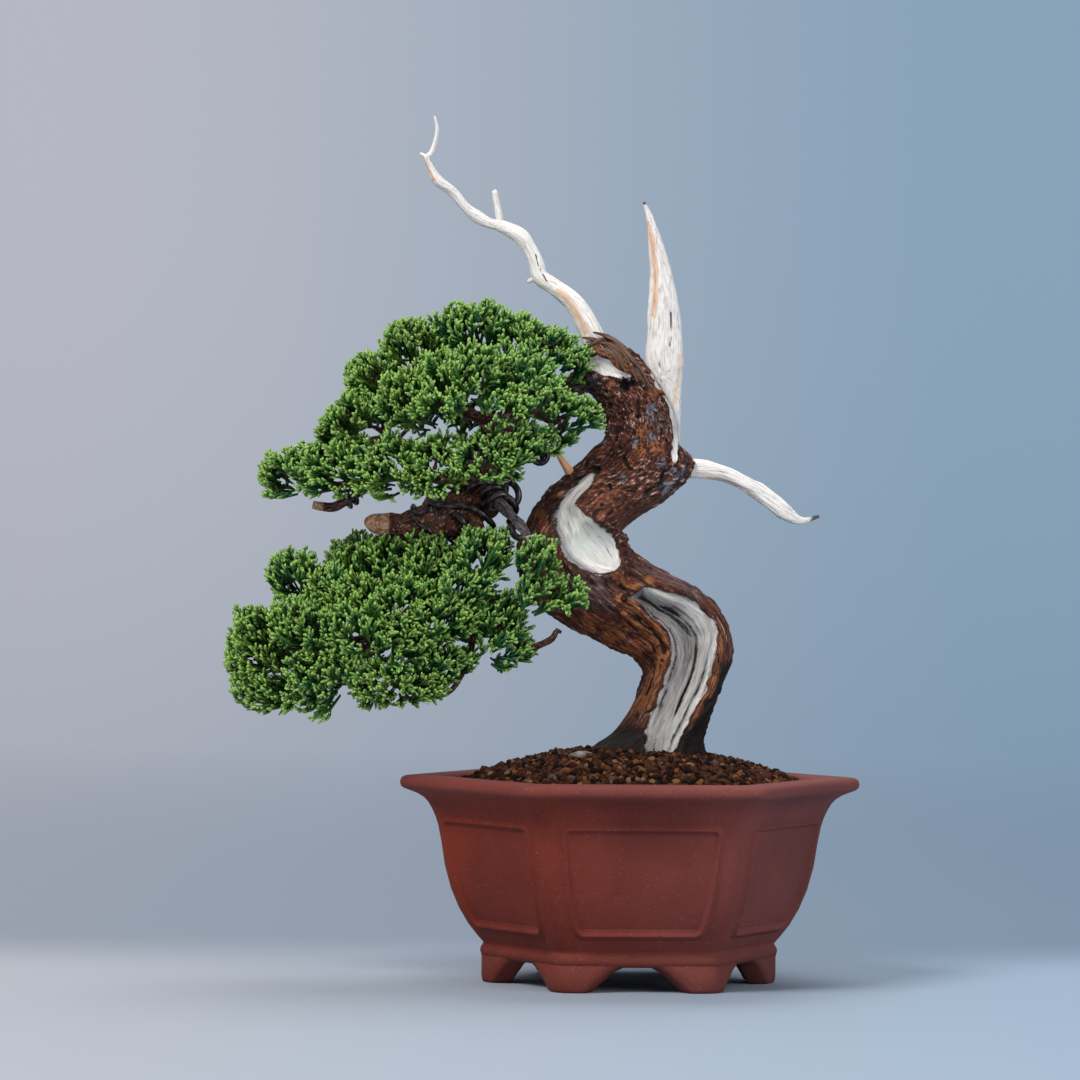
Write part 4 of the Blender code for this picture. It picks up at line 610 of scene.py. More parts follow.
def bark_paint(s):
    """Juniper bark: red-brown fibres, rough scaly plates with tan flecks on their high points and
    near-black gaps, partly their own colour and partly painted highlight and painted shade, tan
    knot rims partly painted as highlight, ragged patches of rust, blue grey and purple, painted
    shade from the stored dark and shade values, and bare wood where it is stripped."""
    grain = s.attribute("grain", "Vector")
    ragged = grain.noise(0.5, 5.0, 0.7, (1.0, 1.0, 0.55)) - 0.5
    strips = grain.noise(0.8, 5.0, 0.66, (0.9, 0.9, 0.14))
    fibre = grain.noise(0.8, 5.0, 0.65, (2.0, 2.0, 0.2))
    crumbs = grain.noise(0.85, 5.0, 0.7, (1.0, 1.0, 0.75))
    rough = s.between(s.attribute("scaly"), fibre, crumbs)

    def patch(name, ragging, low, high):
        """A stored value with its edge made ragged."""
        return (s.attribute(name) + ragged * ragging).rise(low, high)

    colour = s.mix(strips.rise(0.38, 0.6), (0.023, 0.006, 0.0035), (0.21, 0.05, 0.025))
    colour = s.mix(grain.noise(0.19, 3.0).rise(0.46, 0.6) * 0.55, colour, (0.065, 0.024, 0.019))
    # The higher the plates' relief, the lighter: partly the bark's own tan flakes, partly painted
    # highlight on the raised points
    colour = s.mix(rough.rise(0.49, 0.6) * 0.65, colour, (0.32, 0.13, 0.08))
    colour = s.mix(rough.rise(0.575, 0.62) * 0.86, colour, (0.78, 0.58, 0.48))
    purple = s.mix(rough.rise(0.4, 0.62), (0.055, 0.026, 0.024), (0.25, 0.15, 0.135))
    colour = s.mix(patch("purple", 0.7, 0.4, 0.6) * 0.7, colour, purple)
    grey = s.mix(rough.rise(0.4, 0.64), (0.055, 0.05, 0.065), (0.34, 0.34, 0.4))
    colour = s.mix(patch("grey", 1.5, 0.42, 0.55) * 0.8, colour, grey)
    orange = s.mix(rough.rise(0.38, 0.64), (0.15, 0.038, 0.012), (0.55, 0.2, 0.07))
    colour = s.mix(patch("orange", 1.7, 0.42, 0.56) * 0.88, colour, orange)
    # Tan knot rims: partly their own colour, partly painted highlight on the raised rims
    colour = s.mix(patch("rim", 0.5, 0.45, 0.75) * 0.6, colour, (0.44, 0.27, 0.19))
    # Near black at the lowest points of the relief: partly the dark inner bark, partly painted shade in
    # the gaps
    colour = s.mix((1.0 - rough.rise(0.385, 0.48)) * 0.94, colour, (0.008, 0.0025, 0.0015))
    white, relief = bare_wood(s, grain)
    # Grey of weathered bare wood, with painted shade in the lower strip's hollow from the stored shade
    # value
    weathered_grey_and_shade = s.mix(fibre.rise(0.38, 0.62), (0.06, 0.048, 0.045), (0.3, 0.28, 0.29))
    white = s.mix(s.attribute("shade") * 0.9, white, weathered_grey_and_shade)
    white = s.mix(s.attribute("pale") * 0.62, white, (0.86, 0.93, 0.83))
    bare = patch("bare", 0.3, 0.4, 0.6)
    colour = s.mix(bare, colour, white)
    # Dark marks: cracks, seams, pits, char and the black near the soil, with painted shade in grooves,
    # hollows, beside folds and on shaded patches
    colour = s.mix(patch("dark", 0.9, 0.3, 0.65) * 0.96, colour, (0.006, 0.004, 0.0035))
    cut = s.mix(s.place().noise(700.0, 4.0).rise(0.38, 0.62), (0.55, 0.23, 0.12), (1.0, 0.6, 0.4))
    colour = s.mix(patch("cut", 0.8, 0.4, 0.55), colour, cut)
    height = s.between(bare, strips + rough * 1.8, relief * 0.55)
    return s.surface(colour, 0.72, height, 0.9, 0.0014, 0.35)


def wire_paint(s):
    """Dark bronze anodised wire, dull, with soft scuffs."""
    scuffs = s.place().noise(500.0, 4.0)
    colour = s.mix(scuffs.rise(0.4, 0.7), (0.03, 0.024, 0.026), (0.13, 0.11, 0.115))
    return {"Metallic": 0.75, **s.surface(colour, 0.24 + scuffs * 0.2, scuffs, 0.15, 0.0003)}


def foliage_paint(s):
    """Scale leaves on cords: blue green to yellow green by cord, lighter over the last growth, with
    painted shade that darkens the cords and their last growth deep inside the tuft, dark gaps
    between the scales, woody in the core."""
    depth, hue, place = s.attribute("depth"), s.attribute("hue"), s.place()
    scales = place.cells(1000.0)
    colour = s.mix(hue.rise(0.0, 0.55), (0.017, 0.135, 0.058), (0.06, 0.185, 0.026))
    colour = s.mix(hue.rise(0.5, 1.0), colour, (0.135, 0.24, 0.022))
    # Painted shade: the deeper inside the tuft, the darker the cord
    colour = s.mix(1.0 - depth.rise(0.38, 1.0), colour, (0.002, 0.027, 0.001))
    # The last growth is lighter, but less so deep inside the tuft, as part of the painted shade
    new = s.attribute("tip").rise(0.2, 0.95) * (0.3 + depth * 0.58)
    colour = s.mix(new, colour, (0.43, 0.69, 0.16))
    colour = s.mix(scales.rise(0.35, 0.75) * 0.5, colour, (0.008, 0.055, 0.004))
    bark = s.mix(place.noise(600.0).rise(0.4, 0.65), (0.04, 0.016, 0.01), (0.16, 0.075, 0.045))
    colour = s.mix(s.attribute("wood").rise(0.4, 0.6), colour, bark)
    return s.surface(colour, 0.5, 1.0 - scales, 0.7, 0.0005, 0.25)


def floor_paint(s):
    """A plain pale sheet that turns to a darker wall behind: mauve grey on the left, blue grey
    on the right. The wall is black and glows with painted light, darker low down and lighter
    higher up and further back, so that it is as even as a lit sheet."""
    place = s.place()
    side, away = place.part("X").rise(-0.42, 0.4), place.part("Y")
    wall = away.rise(0.03, 0.2)
    floor = s.mix(side, (0.4, 0.39, 0.41), (0.275, 0.38, 0.5))
    # Painted light: the wall's glow, from a darker tone low down to a lighter one higher up and further
    # back
    low = s.mix(side, (0.3, 0.325, 0.385), (0.166, 0.25, 0.352))
    high = s.mix(side, (0.45, 0.465, 0.53), (0.24, 0.35, 0.465))
    tone = s.mix((away + place.part("Z") * 2.0).rise(0.4, 3.4), low, high)
    return {"Base Color": s.mix(wall, floor, (0.02, 0.02, 0.02)), "Roughness": 0.9,
            "Specular IOR Level": 0.1, "Emission Strength": 1.0,
            "Emission Color": s.mix(wall, (0.0, 0.0, 0.0), tone)}


# Shapes from arrays
def lattice(cell, seed):
    """A random number from 0 to 1 for each whole-number cell, the same each time: products of
    its three numbers with large primes, joined by exclusive or and shifted."""
    mixed = (cell[..., 0] * 73856093) ^ (cell[..., 1] * 19349663) ^ (cell[..., 2] * 83492791)
    mixed = mixed ^ (seed * 97531 + 12345)
    mixed = (mixed ^ (mixed >> 13)) * 1274126177
    return ((mixed ^ (mixed >> 16)) & 0xFFFF) / 0xFFFF


def soft_noise(points, seed=0):
    """Smooth noise from -1 to 1: the numbers at the eight corners of a point's unit cell, each
    weighted by 3t² - 2t³ of the point's place along each axis."""
    base = np.floor(points).astype(np.int64)
    share = points - base
    share = share * share * (3 - 2 * share)
    total = np.zeros(points.shape[:-1])
    for corner in np.ndindex(2, 2, 2):
        weight = np.prod(np.where(corner, share, 1 - share), axis=-1)
        total += weight * lattice(base + np.array(corner), seed)
    return 2 * total - 1


def step_between(value, low, high):
    """3t² - 2t³ of how far the value is from low to high, held between 0 and 1."""
    t = np.clip((value - low) / (high - low), 0, 1)
    return t * t * (3 - 2 * t)


def raised_by(distance, width):
    """Bell-shaped rise, exp(-(d / w)²)."""
    return np.exp(-(distance / width) ** 2)


def ridged(noise):
    """Sharp ridges where the noise is near 0: 1 - 2 |noise|."""
    return 1 - 2 * np.abs(noise)


def strongest(*fields):
    """The greatest of some fields at each point."""
    return np.max(fields, axis=0)


def turned(points, angle, first=0, second=1):
    """Points turned by an angle from one axis towards another, here X and Y."""
    made = points.copy()
    c, s = np.cos(angle), np.sin(angle)
    made[..., first] = points[..., first] * c - points[..., second] * s
    made[..., second] = points[..., first] * s + points[..., second] * c
    return made


def circle(count):
    """Even angles round a circle."""
    return 2 * np.pi * np.arange(count) / count


def unit(vectors):
    """Vectors brought to length one."""
    return vectors / np.linalg.norm(vectors, axis=-1, keepdims=True)


def smooth_rows(rows, places):
    """Catmull-Rom values of a table of rows at fractional row numbers."""
    rows = np.asarray(rows, float)
    places = np.clip(places, 0, len(rows) - 1)
    i = np.minimum(places.astype(int), len(rows) - 2)
    t = (places - i)[:, None]
    p0, p1, p2, p3 = (rows[np.clip(i + k, 0, len(rows) - 1)] for k in (-1, 0, 1, 2))
    return 0.5 * (2 * p1 + (p2 - p0) * t + (2 * p0 - 5 * p1 + 4 * p2 - p3) * t ** 2
                  + (3 * p1 - p0 - 3 * p2 + p3) * t ** 3)


def route_through(rows, step):
    """A smooth route through rows of x, y, z and more, with points about a step apart."""
    rows = np.asarray(rows, float)
    spans = np.linalg.norm(np.diff(rows[:, :3], axis=0), axis=1)
    counts = np.maximum(1, np.round(spans / step)).astype(int)
    places = np.concatenate([i + np.arange(n) / n for i, n in enumerate(counts)] + [[len(rows) - 1.0]])
    return smooth_rows(rows, places)


def running_length(points):
    """Length along a line of points, from its start to each of them."""
    return np.concatenate([[0], np.cumsum(np.linalg.norm(np.diff(points, axis=0), axis=1))])


def carried(run):
    """A side direction for each point of a route: the one before it, made square to the
    route's direction there."""
    side = np.empty_like(run)
    start = np.eye(3)[np.argmin(np.abs(run[0]))]
    side[0] = unit(start - run[0] * (start @ run[0]))
    for i in range(1, len(run)):
        side[i] = unit(side[i - 1] - run[i] * (side[i - 1] @ run[i]))
    return side


def band_faces(rings, sides):
    """Four-sided faces between closed rings of points; the last band joins the first ring."""
    i, j = np.meshgrid(np.arange(rings), np.arange(sides), indexing="ij")
    ahead, nxt = (i + 1) % rings, (j + 1) % sides
    corners = [i * sides + j, i * sides + nxt, ahead * sides + nxt, ahead * sides + j]
    return np.stack(corners, -1).reshape(-1, 4)


def skin_faces(rings, sides):
    """Faces of a skin through rings of points, with a pole point at each end, which come last:
    four-sided ones between rings and three-sided ones round the poles, all facing outward."""
    around = np.arange(sides)
    ahead = (around + 1) % sides
    first, last, top = rings * sides, rings * sides + 1, (rings - 1) * sides
    low = np.stack([np.full(sides, first), ahead, around], -1)
    high = np.stack([np.full(sides, last), top + around, top + ahead], -1)
    return band_faces(rings, sides)[:top], np.concatenate([low, high])


class Shape:
    """Points, faces and stored values of one piece, gathered from closed skins."""

    def __init__(self):
        self.points = []
        self.quads = []
        self.tris = []
        self.values = {}
        self.count = 0

    def add(self, points, quads, tris, **values):
        """Add one skin; each value is an array with one entry for each of its points."""
        self.points.append(points)
        self.quads.append(np.asarray(quads, int).reshape(-1, 4) + self.count)
        self.tris.append(np.asarray(tris, int).reshape(-1, 3) + self.count)
        for name, value in values.items():
            self.values.setdefault(name, []).append((self.count, np.asarray(value, float)))
        self.count += len(points)

    def add_rings(self, rings, **values):
        """Add a skin through rings of points. Its ends close on the middles of the end rings.
        Each value is one number or an array with an entry for each point of the rings."""
        poles = rings[[0, -1]].mean(axis=1)
        stored = {}
        for name, value in values.items():
            value = np.asarray(value, float)
            value = np.full(rings.shape[:2], value) if value.ndim == 0 else value
            value = value.reshape(*rings.shape[:2], -1)
            entries = np.concatenate([value.reshape(-1, value.shape[2]), value[[0, -1]].mean(axis=1)])
            stored[name] = entries if entries.shape[1] > 1 else entries[:, 0]
        points = np.concatenate([rings.reshape(-1, 3), poles])
        self.add(points, *skin_faces(*rings.shape[:2]), **stored)

    def make(self, name, finish, stands_for=()):
        """Turn the gathered arrays into one smooth piece of the model."""
        points = (np.concatenate(self.points) + SHIFT) * MM
        quads, tris = np.concatenate(self.quads), np.concatenate(self.tris)
        mesh = bpy.data.meshes.new(name)
        corners = np.concatenate([quads.ravel(), tris.ravel()])
        starts = np.concatenate([np.arange(len(quads)) * 4, 4 * len(quads) + np.arange(len(tris)) * 3])
        mesh.vertices.add(len(points))
        mesh.vertices.foreach_set("co", points.ravel())
        mesh.loops.add(len(corners))
        mesh.loops.foreach_set("vertex_index", corners.astype(np.int32))
        mesh.polygons.add(len(starts))
        mesh.polygons.foreach_set("loop_start", starts.astype(np.int32))
        mesh.update(calc_edges=True)
        mesh.polygons.foreach_set("use_smooth", np.ones(len(starts), bool))
        for key, parts in self.values.items():
            wide = parts[0][1].ndim == 2
            stored = np.zeros((len(points), 3) if wide else len(points))
            for start, value in parts:
                stored[start:start + len(value)] = value
            kept = mesh.attributes.new(key, "FLOAT_VECTOR" if wide else "FLOAT", "POINT")
            kept.data.foreach_set("vector" if wide else "value", stored.ravel())
        mesh.materials.append(finish)
        piece = bpy.data.objects.new(name, mesh)
        bpy.context.scene.collection.objects.link(piece)
        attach(piece, "root")
        if stands_for:
            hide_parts(*stands_for)
        return piece


def tube_rings(route, sides, flat=1.0, side=None):
    """Rings round a route of x, y, z and radius: point + r (side cos a + flat other sin a)."""
    centre, radius = route[:, :3], route[:, 3]
    run = unit(np.gradient(centre, axis=0))
    side = carried(run) if side is None else unit(side - run * np.sum(side * run, axis=1)[:, None])
    other = np.cross(run, side)
    angle = circle(sides)
    out = side[:, None] * np.cos(angle)[:, None] + flat * other[:, None] * np.sin(angle)[:, None]
    return centre[:, None] + out * radius[:, None, None], unit(out), running_length(centre), angle


def grain_place(radius, angle, length, twist):
    """Place in the wood's grain: r cos a, r sin a and the length along, with the angle turned
    by a twist for each millimetre."""
    turn = angle + twist * length[:, None]
    around = np.broadcast_to(np.reshape(radius, (-1, 1)), turn.shape)
    along = np.broadcast_to(length[:, None], turn.shape)
    return np.stack([around * np.cos(turn), around * np.sin(turn), along], axis=-1)


def grainy(grain, stretch, seed):
    """Noise in the wood's grain, whose three numbers are first multiplied by the stretch."""
    return soft_noise(grain * np.array(stretch), seed)


def near_line(points, line):
    """Least distance from points of the front plane to a line of straight pieces."""
    line = np.asarray(line, float)
    a, b = line[:-1], line[1:]
    span = b - a
    offset = points[:, None, :] - a
    share = np.clip(np.sum(offset * span, -1) / np.sum(span * span, -1), 0, 1)
    return np.linalg.norm(offset - share[..., None] * span, axis=-1).min(axis=1)


def near_lines(points, lines):
    """Least distance from points of the front plane to any of some lines."""
    return np.min([near_line(points, line) for line in lines], axis=0)


def inside_by(points, outline):
    """Distance from points of the front plane to a closed outline, positive inside it."""
    closed = np.array([*outline, outline[0]], float)
    a, b = closed[:-1], closed[1:]
    x, z = points[:, 0][:, None], points[:, 1][:, None]
    crosses = (a[:, 1] > z) != (b[:, 1] > z)
    rise = np.where(b[:, 1] == a[:, 1], 1.0, b[:, 1] - a[:, 1])
    hit = crosses & (x < a[:, 0] + (z - a[:, 1]) / rise * (b[:, 0] - a[:, 0]))
    sign = np.where(hit.sum(axis=1) % 2 == 1, 1.0, -1.0)
    return sign * near_line(points, closed)


def seen_from_front(points):
    """Where the sight line from the camera to each point meets the plane Y = 0, as x and z."""
    share = CAMERA_AT[1] / (CAMERA_AT[1] - points[..., 1])
    return CAMERA_AT[[0, 2]] + (points[..., [0, 2]] - CAMERA_AT[[0, 2]]) * share[..., None]


def spots(plane, table, share=1.0):
    """The strongest of some soft round spots at points of the plane, each a bell-shaped rise
    with a share of its reach in the table."""
    table = np.array(table, float)
    far = np.linalg.norm(plane[:, None, :] - table[:, :2], axis=-1)
    return raised_by(far, table[:, 2] * share).max(axis=1)


# The pot
def six_sided_ring(radius, rounding, z):
    """A six-sided ring: straight walls at r cos 30° from the middle, joined by 60° arcs."""
    wall_points, arc_steps = 14, 7
    apothem = radius * COS_30
    half = radius / 2 - rounding * math.tan(SIXTH / 2)
    turn = np.linspace(0, SIXTH, arc_steps + 1)[1:-1]
    out = [np.full(wall_points, apothem), apothem - rounding + rounding * np.cos(turn)]
    along = [np.linspace(-1, 1, wall_points) * half, half + rounding * np.sin(turn)]
    side = np.column_stack([np.concatenate(out), np.concatenate(along)])
    side = np.column_stack([side, np.full(len(side), z)])
    return np.concatenate([turned(side, SIXTH * k + SIXTH / 2) for k in range(6)])


def wall_radius(z):
    """Corner radius of the pot's outer wall at heights."""
    outer = np.array(POT_PROFILE[OUTER_WALL_FROM:])[::-1]
    return np.interp(z, outer[:, 1], outer[:, 0])


def bead_route(face):
    """The closed line of the bead on one wall: quarter circles at the corners, two sides that
    follow the wall's curve and two level edges. Gives its points and the wall's normals."""
    route = []
    quarter = np.radians(np.linspace(0, 90, 7))
    for side, level, first in ((1, 1, 0), (-1, 1, 90), (-1, -1, 180), (1, -1, 270)):
        edge = PANEL_TOP if level > 0 else PANEL_BOTTOM
        turn = quarter + math.radians(first)
        z = edge + PANEL_CORNER * (np.sin(turn) - level)
        half = wall_radius(z) / 2 - PANEL_INSET
        route.append(np.column_stack([side * half + PANEL_CORNER * (np.cos(turn) - side), z]))
        if side != level:
            z = np.linspace(PANEL_TOP - PANEL_CORNER, PANEL_BOTTOM + PANEL_CORNER, 16)[1:-1]
            z = z if level > 0 else z[::-1]
            route.append(np.column_stack([side * (wall_radius(z) / 2 - PANEL_INSET), z]))
        else:
            z = np.full(8, edge)
            half = wall_radius(z) / 2 - PANEL_INSET - PANEL_CORNER
            route.append(np.column_stack([np.linspace(1, -1, 10)[1:-1] * side * half, z]))
    along, z = np.concatenate(route).T
    outward = turned(RIGHT, SIXTH * face + SIXTH / 2)
    sideways = turned(BACK, SIXTH * face + SIXTH / 2)
    points = (outward * (wall_radius(z) * COS_30)[:, None] + sideways * along[:, None]
              + UP * z[:, None])
    slope = (wall_radius(z + 0.5) - wall_radius(z - 0.5)) * COS_30
    return points, unit(outward - UP * slope[:, None])


def add_bead(shape, face):
    """A bead with a bell-shaped section, h exp(-(w / s)²), along the closed line on a wall. Its
    section closes behind the wall's face."""
    points, normal = bead_route(face)
    run = unit(np.roll(points, -1, axis=0) - np.roll(points, 1, axis=0))
    across = np.cross(normal, run)
    offset = np.array(BEAD_ACROSS)
    height = BEAD_HEIGHT * raised_by(offset, BEAD_WIDTH) - BEAD_SUNK
    height[-1] = BEAD_ROOT
    rings = points[:, None] + across[:, None] * offset[:, None] + normal[:, None] * height[:, None]
    shape.add(rings.reshape(-1, 3), band_faces(*rings.shape[:2])[:, ::-1], [])


def add_foot(shape, corner):
    """A bracket foot round one corner: a plate between two rounded six-sided lines, whose lower
    edge rises with the distance from the corner."""
    far = np.linspace(-FOOT_REACH, FOOT_REACH, 61)
    low = np.interp(np.abs(far), *np.array(FOOT_EDGE).T)
    lines = []
    for inward, rounding in ((0.0, 7.0), (FOOT_THICK, 1.5)):
        apothem = FOOT_RADIUS * COS_30 - inward
        half = apothem / COS_30 / 2 - rounding * math.tan(SIXTH / 2)
        arc = rounding * SIXTH / 2
        turn = SIXTH / 2 - np.clip(np.abs(far) / arc, 0, 1) * SIXTH / 2
        out = apothem - rounding + rounding * np.cos(turn)
        along = half + rounding * np.sin(turn) - np.maximum(np.abs(far) - arc, 0)
        line = turned(np.column_stack([out, along, 0 * out]), -SIXTH / 2)
        line[:, 1] = np.where(far < 0, -1, 1) * np.abs(line[:, 1])
        lines.append(line)
    outer, inner = lines
    section = []
    for inward, top, lift in FOOT_SECTION:
        place = outer + (inner - outer) * inward
        place[:, 2] = FOOT_TOP if top else np.minimum(low + lift, FOOT_TOP - 0.05)
        section.append(place)
    shape.add_rings(turned(np.stack(section, axis=1), SIXTH * corner)[:, ::-1])


def make_pot(finish):
    """The pot: six-sided rings along the profile, a floor with three drainage holes, beads
    and feet."""
    rings = []
    for radius, z in POT_PROFILE:
        lip = float(step_between(z, LIP_FROM, LIP_TO)) if radius > LIP_OUT_FROM else WALL_SHARE
        rings.append(six_sided_ring(radius, CORNER_ROUND + (LIP_ROUND - CORNER_ROUND) * lip, z))
    count, sides = len(rings), len(rings[0])
    walls = [band_faces(count, sides)[:(count - 1) * sides, ::-1]]
    angle = circle(DRAIN_SIDES)
    hole = DRAIN_RADIUS * np.column_stack([np.cos(angle), np.sin(angle), 0 * angle])
    loops = []
    for z, edge in ((FLOOR_TOP, rings[0]), (FLOOR_UNDER, rings[-1])):
        middles = [turned(RIGHT, 2 * SIXTH * k) * DRAIN_RING + UP * z for k in range(DRAIN_HOLES)]
        loops.append([edge, *(hole + middle for middle in middles)])
    points = np.concatenate([*rings, *loops[0][1:], *loops[1][1:]])
    start, below = count * sides, DRAIN_HOLES * DRAIN_SIDES
    tris = []
    for under, loop in enumerate(loops):
        found = np.array(tessellate_polygon([[Vector(p) for p in part] for part in loop]))
        base = (count - 1) * sides if under else 0
        index = np.where(found < sides, base + found, start + under * below + found - sides)
        corner = points[index]
        up = np.cross(corner[:, 1] - corner[:, 0], corner[:, 2] - corner[:, 0])[:, 2]
        wrong = up > 0 if under else up < 0
        index[wrong] = index[wrong][:, ::-1]
        tris.append(index)
    for k in range(DRAIN_HOLES):
        near = start + DRAIN_SIDES * k + np.arange(DRAIN_SIDES)
        nxt = np.roll(near, -1)
        walls.append(np.stack([near, nxt, nxt + below, near + below], axis=-1))
    shape = Shape()
    shape.add(points, np.concatenate(walls), np.concatenate(tris))
    for face in range(6):
        add_bead(shape, face)
    for corner in range(6):
        add_foot(shape, corner)
    shape.points = [turned(part, POT_TURN) for part in shape.points]
    return shape.make("clay_pot", finish, ["pot"])


# The soil
def mound_height(x, y):
    """Height of the soil, crown less the rise times a power of the share of the way from the
    middle to the pot's wall, and that share."""
    off_wall = (np.arctan2(y, x) - POT_TURN + SIXTH / 2) % SIXTH - SIXTH / 2
    share = np.hypot(x, y) * np.cos(SIXTH / 2 - np.abs(off_wall)) / COS_30 / SOIL_EDGE_RADIUS
    rise = SOIL_CROWN_Z - SOIL_EDGE_Z
    return SOIL_EDGE_Z + rise * (1 - np.minimum(share, 1) ** SOIL_POWER), share


def outside(x, y, place):
    """Which points lie outside an upright ellipse."""
    return ((x - place[0]) / place[2]) ** 2 + ((y - place[1]) / place[3]) ** 2 > 1


def make_granules(finish):
    """Loose granules over the mound: three rings of five points and two poles, each with its
    own size, knobs, stretch and turns, set on a shaken hexagonal net."""
    rng = np.random.default_rng(7)
    count = int(2 * SOIL_EDGE_RADIUS / GRAIN_PITCH) + 4
    i, j = np.meshgrid(np.arange(-count, count), np.arange(-count, count), indexing="ij")
    x = (i + 0.5 * (j % 2)).ravel() * GRAIN_PITCH
    y = (j * 0.866).ravel() * GRAIN_PITCH
    x = x + rng.uniform(-GRAIN_SHAKE, GRAIN_SHAKE, x.shape)
    y = y + rng.uniform(-GRAIN_SHAKE, GRAIN_SHAKE, y.shape)
    z, share = mound_height(x, y)
    keep = (share < 1.0) & outside(x, y, TRUNK_FOOT) & outside(x, y, PEBBLE_BED)
    place = np.column_stack([x, y, z])[keep]
    count = len(place)
    size = rng.uniform(*GRAIN_SIZE, count) * np.where(rng.random(count) < LARGE_GRAINS, LARGE_BY, 1.0)
    place[:, 2] += rng.uniform(-0.2, 0.75, count)
    angle = circle(GRAIN_SIDES)
    grain = []
    for radius, turn, height in GRAIN_RINGS:
        ring = [radius * np.cos(angle + turn), radius * np.sin(angle + turn), 0 * angle + height]
        grain.append(np.column_stack(ring))
    grain = np.concatenate([*grain, GRAIN_POLES])
    knobs = rng.uniform(0.78, 1.2, (count, len(grain), 1))
    stretch = rng.uniform(0.75, 1.2, (count, 1, 3))
    points = grain * knobs * stretch * size[:, None, None]
    spin, tilt = rng.uniform(0, 2 * np.pi, count), rng.uniform(0, np.pi, count)
    points = turned(turned(points, tilt[:, None], 1, 2), spin[:, None]) + place[:, None]
    step = np.arange(count)[:, None, None] * len(grain)
    hue = np.repeat(rng.random(count), len(grain))
    tone = np.repeat(rng.random(count) ** 1.4, len(grain))
    quads, tris = skin_faces(len(GRAIN_RINGS), GRAIN_SIDES)
    shape = Shape()
    shape.add(points.reshape(-1, 3), quads + step, tris + step, hue=hue, tone=tone)
    return shape.make("granules", finish)


def make_pebble(finish):
    """The stone: a ball drawn out to three half sizes, swollen by noise."""
    turn, rise = circle(48), np.linspace(-0.48 * np.pi, 0.48 * np.pi, 30)[:, None]
    ball = [np.cos(rise) * np.cos(turn), np.cos(rise) * np.sin(turn), np.sin(rise) + 0 * turn]
    ball = np.stack(ball, axis=-1)
    swell = 1 + 0.1 * soft_noise(ball * 1.3, 3) + 0.03 * soft_noise(ball * 4, 4)
    shape = Shape()
    shape.add_rings(np.array(PEBBLE_AT) + ball * np.array(PEBBLE_SIZE) * swell[..., None])
    return shape.make("grey_pebble", finish, ["pebble"])


# Wood
def across_strip(plane, left, right):
    """Place across a strip of bare wood: the distance to its left edge over the sum of the
    distances to both edges."""
    to_left, to_right = near_line(plane, left), near_line(plane, right)
    return to_left / (to_left + to_right + 1e-6)


def scattered_knots(around, along, seed):
    """Knots on the whole bark, at most one in each cell of a net that closes on itself round the
    trunk. Gives the rise of their rims and the depth of their middles."""
    cells_round = 14
    net = TRUNK_GIRTH / cells_round
    u, v = around / net, along / net
    rim, pit = np.zeros(around.shape), np.zeros(around.shape)
    for du in (-1, 0, 1):
        for dv in (-1, 0, 1):
            cu, cv = np.floor(u).astype(int) + du, np.floor(v).astype(int) + dv
            cell = np.stack([cu % cells_round, cv, np.zeros_like(cv)], axis=-1)
            x, y, chosen, reach = (lattice(cell, seed + k) for k in range(4))
            far = np.hypot(u - cu - x, v - cv - y) * net
            reach = 0.8 + 0.9 * reach
            there = chosen > 0.5
            rim = np.maximum(rim, there * raised_by(far, reach))
            pit = np.maximum(pit, there * raised_by(far, reach * 0.45))
    return rim, pit


def add_strand(shape, line, seed):
    """A loose strand of bark over the trunk's top. It lies just before the skin, whose depth is
    thick sqrt(1 - over²) with the place over the nearest rib from -1 to 1."""
    ribs = np.array(TRUNK_RIBS[-9:], float)
    place = np.array(line, float)
    middles, halves = (ribs[:, [0, 1]] + ribs[:, [2, 3]]) / 2, (ribs[:, [2, 3]] - ribs[:, [0, 1]]) / 2
    nearest = np.argmin(np.linalg.norm(place[:, None] - middles[None], axis=-1), axis=1)
    middle, half, depth, thick = middles[nearest], halves[nearest], ribs[nearest, 4], ribs[nearest, 5]
    over = np.abs(np.sum((place - middle) * half, axis=1)) / np.linalg.norm(half, axis=1) ** 2
    deep = depth - thick * np.sqrt(1 - np.clip(over, 0, 0.97) ** 2) - STRAND_LIFT
    radius = np.interp(np.linspace(0, 1, len(place)), [0, 0.3, 1], [0.3, 0.85, 0.35])
    route = route_through(np.column_stack([place[:, 0], deep, place[:, 1], radius]), 0.6)
    rings, grain = branch_rings(route, 7, seed + 400, 0.3)
    shape.add_rings(rings, grain=grain, scaly=0, rim=0.7 + 0.2 * (seed % 2),
                    orange=0.35 * (seed % 3 == 0))


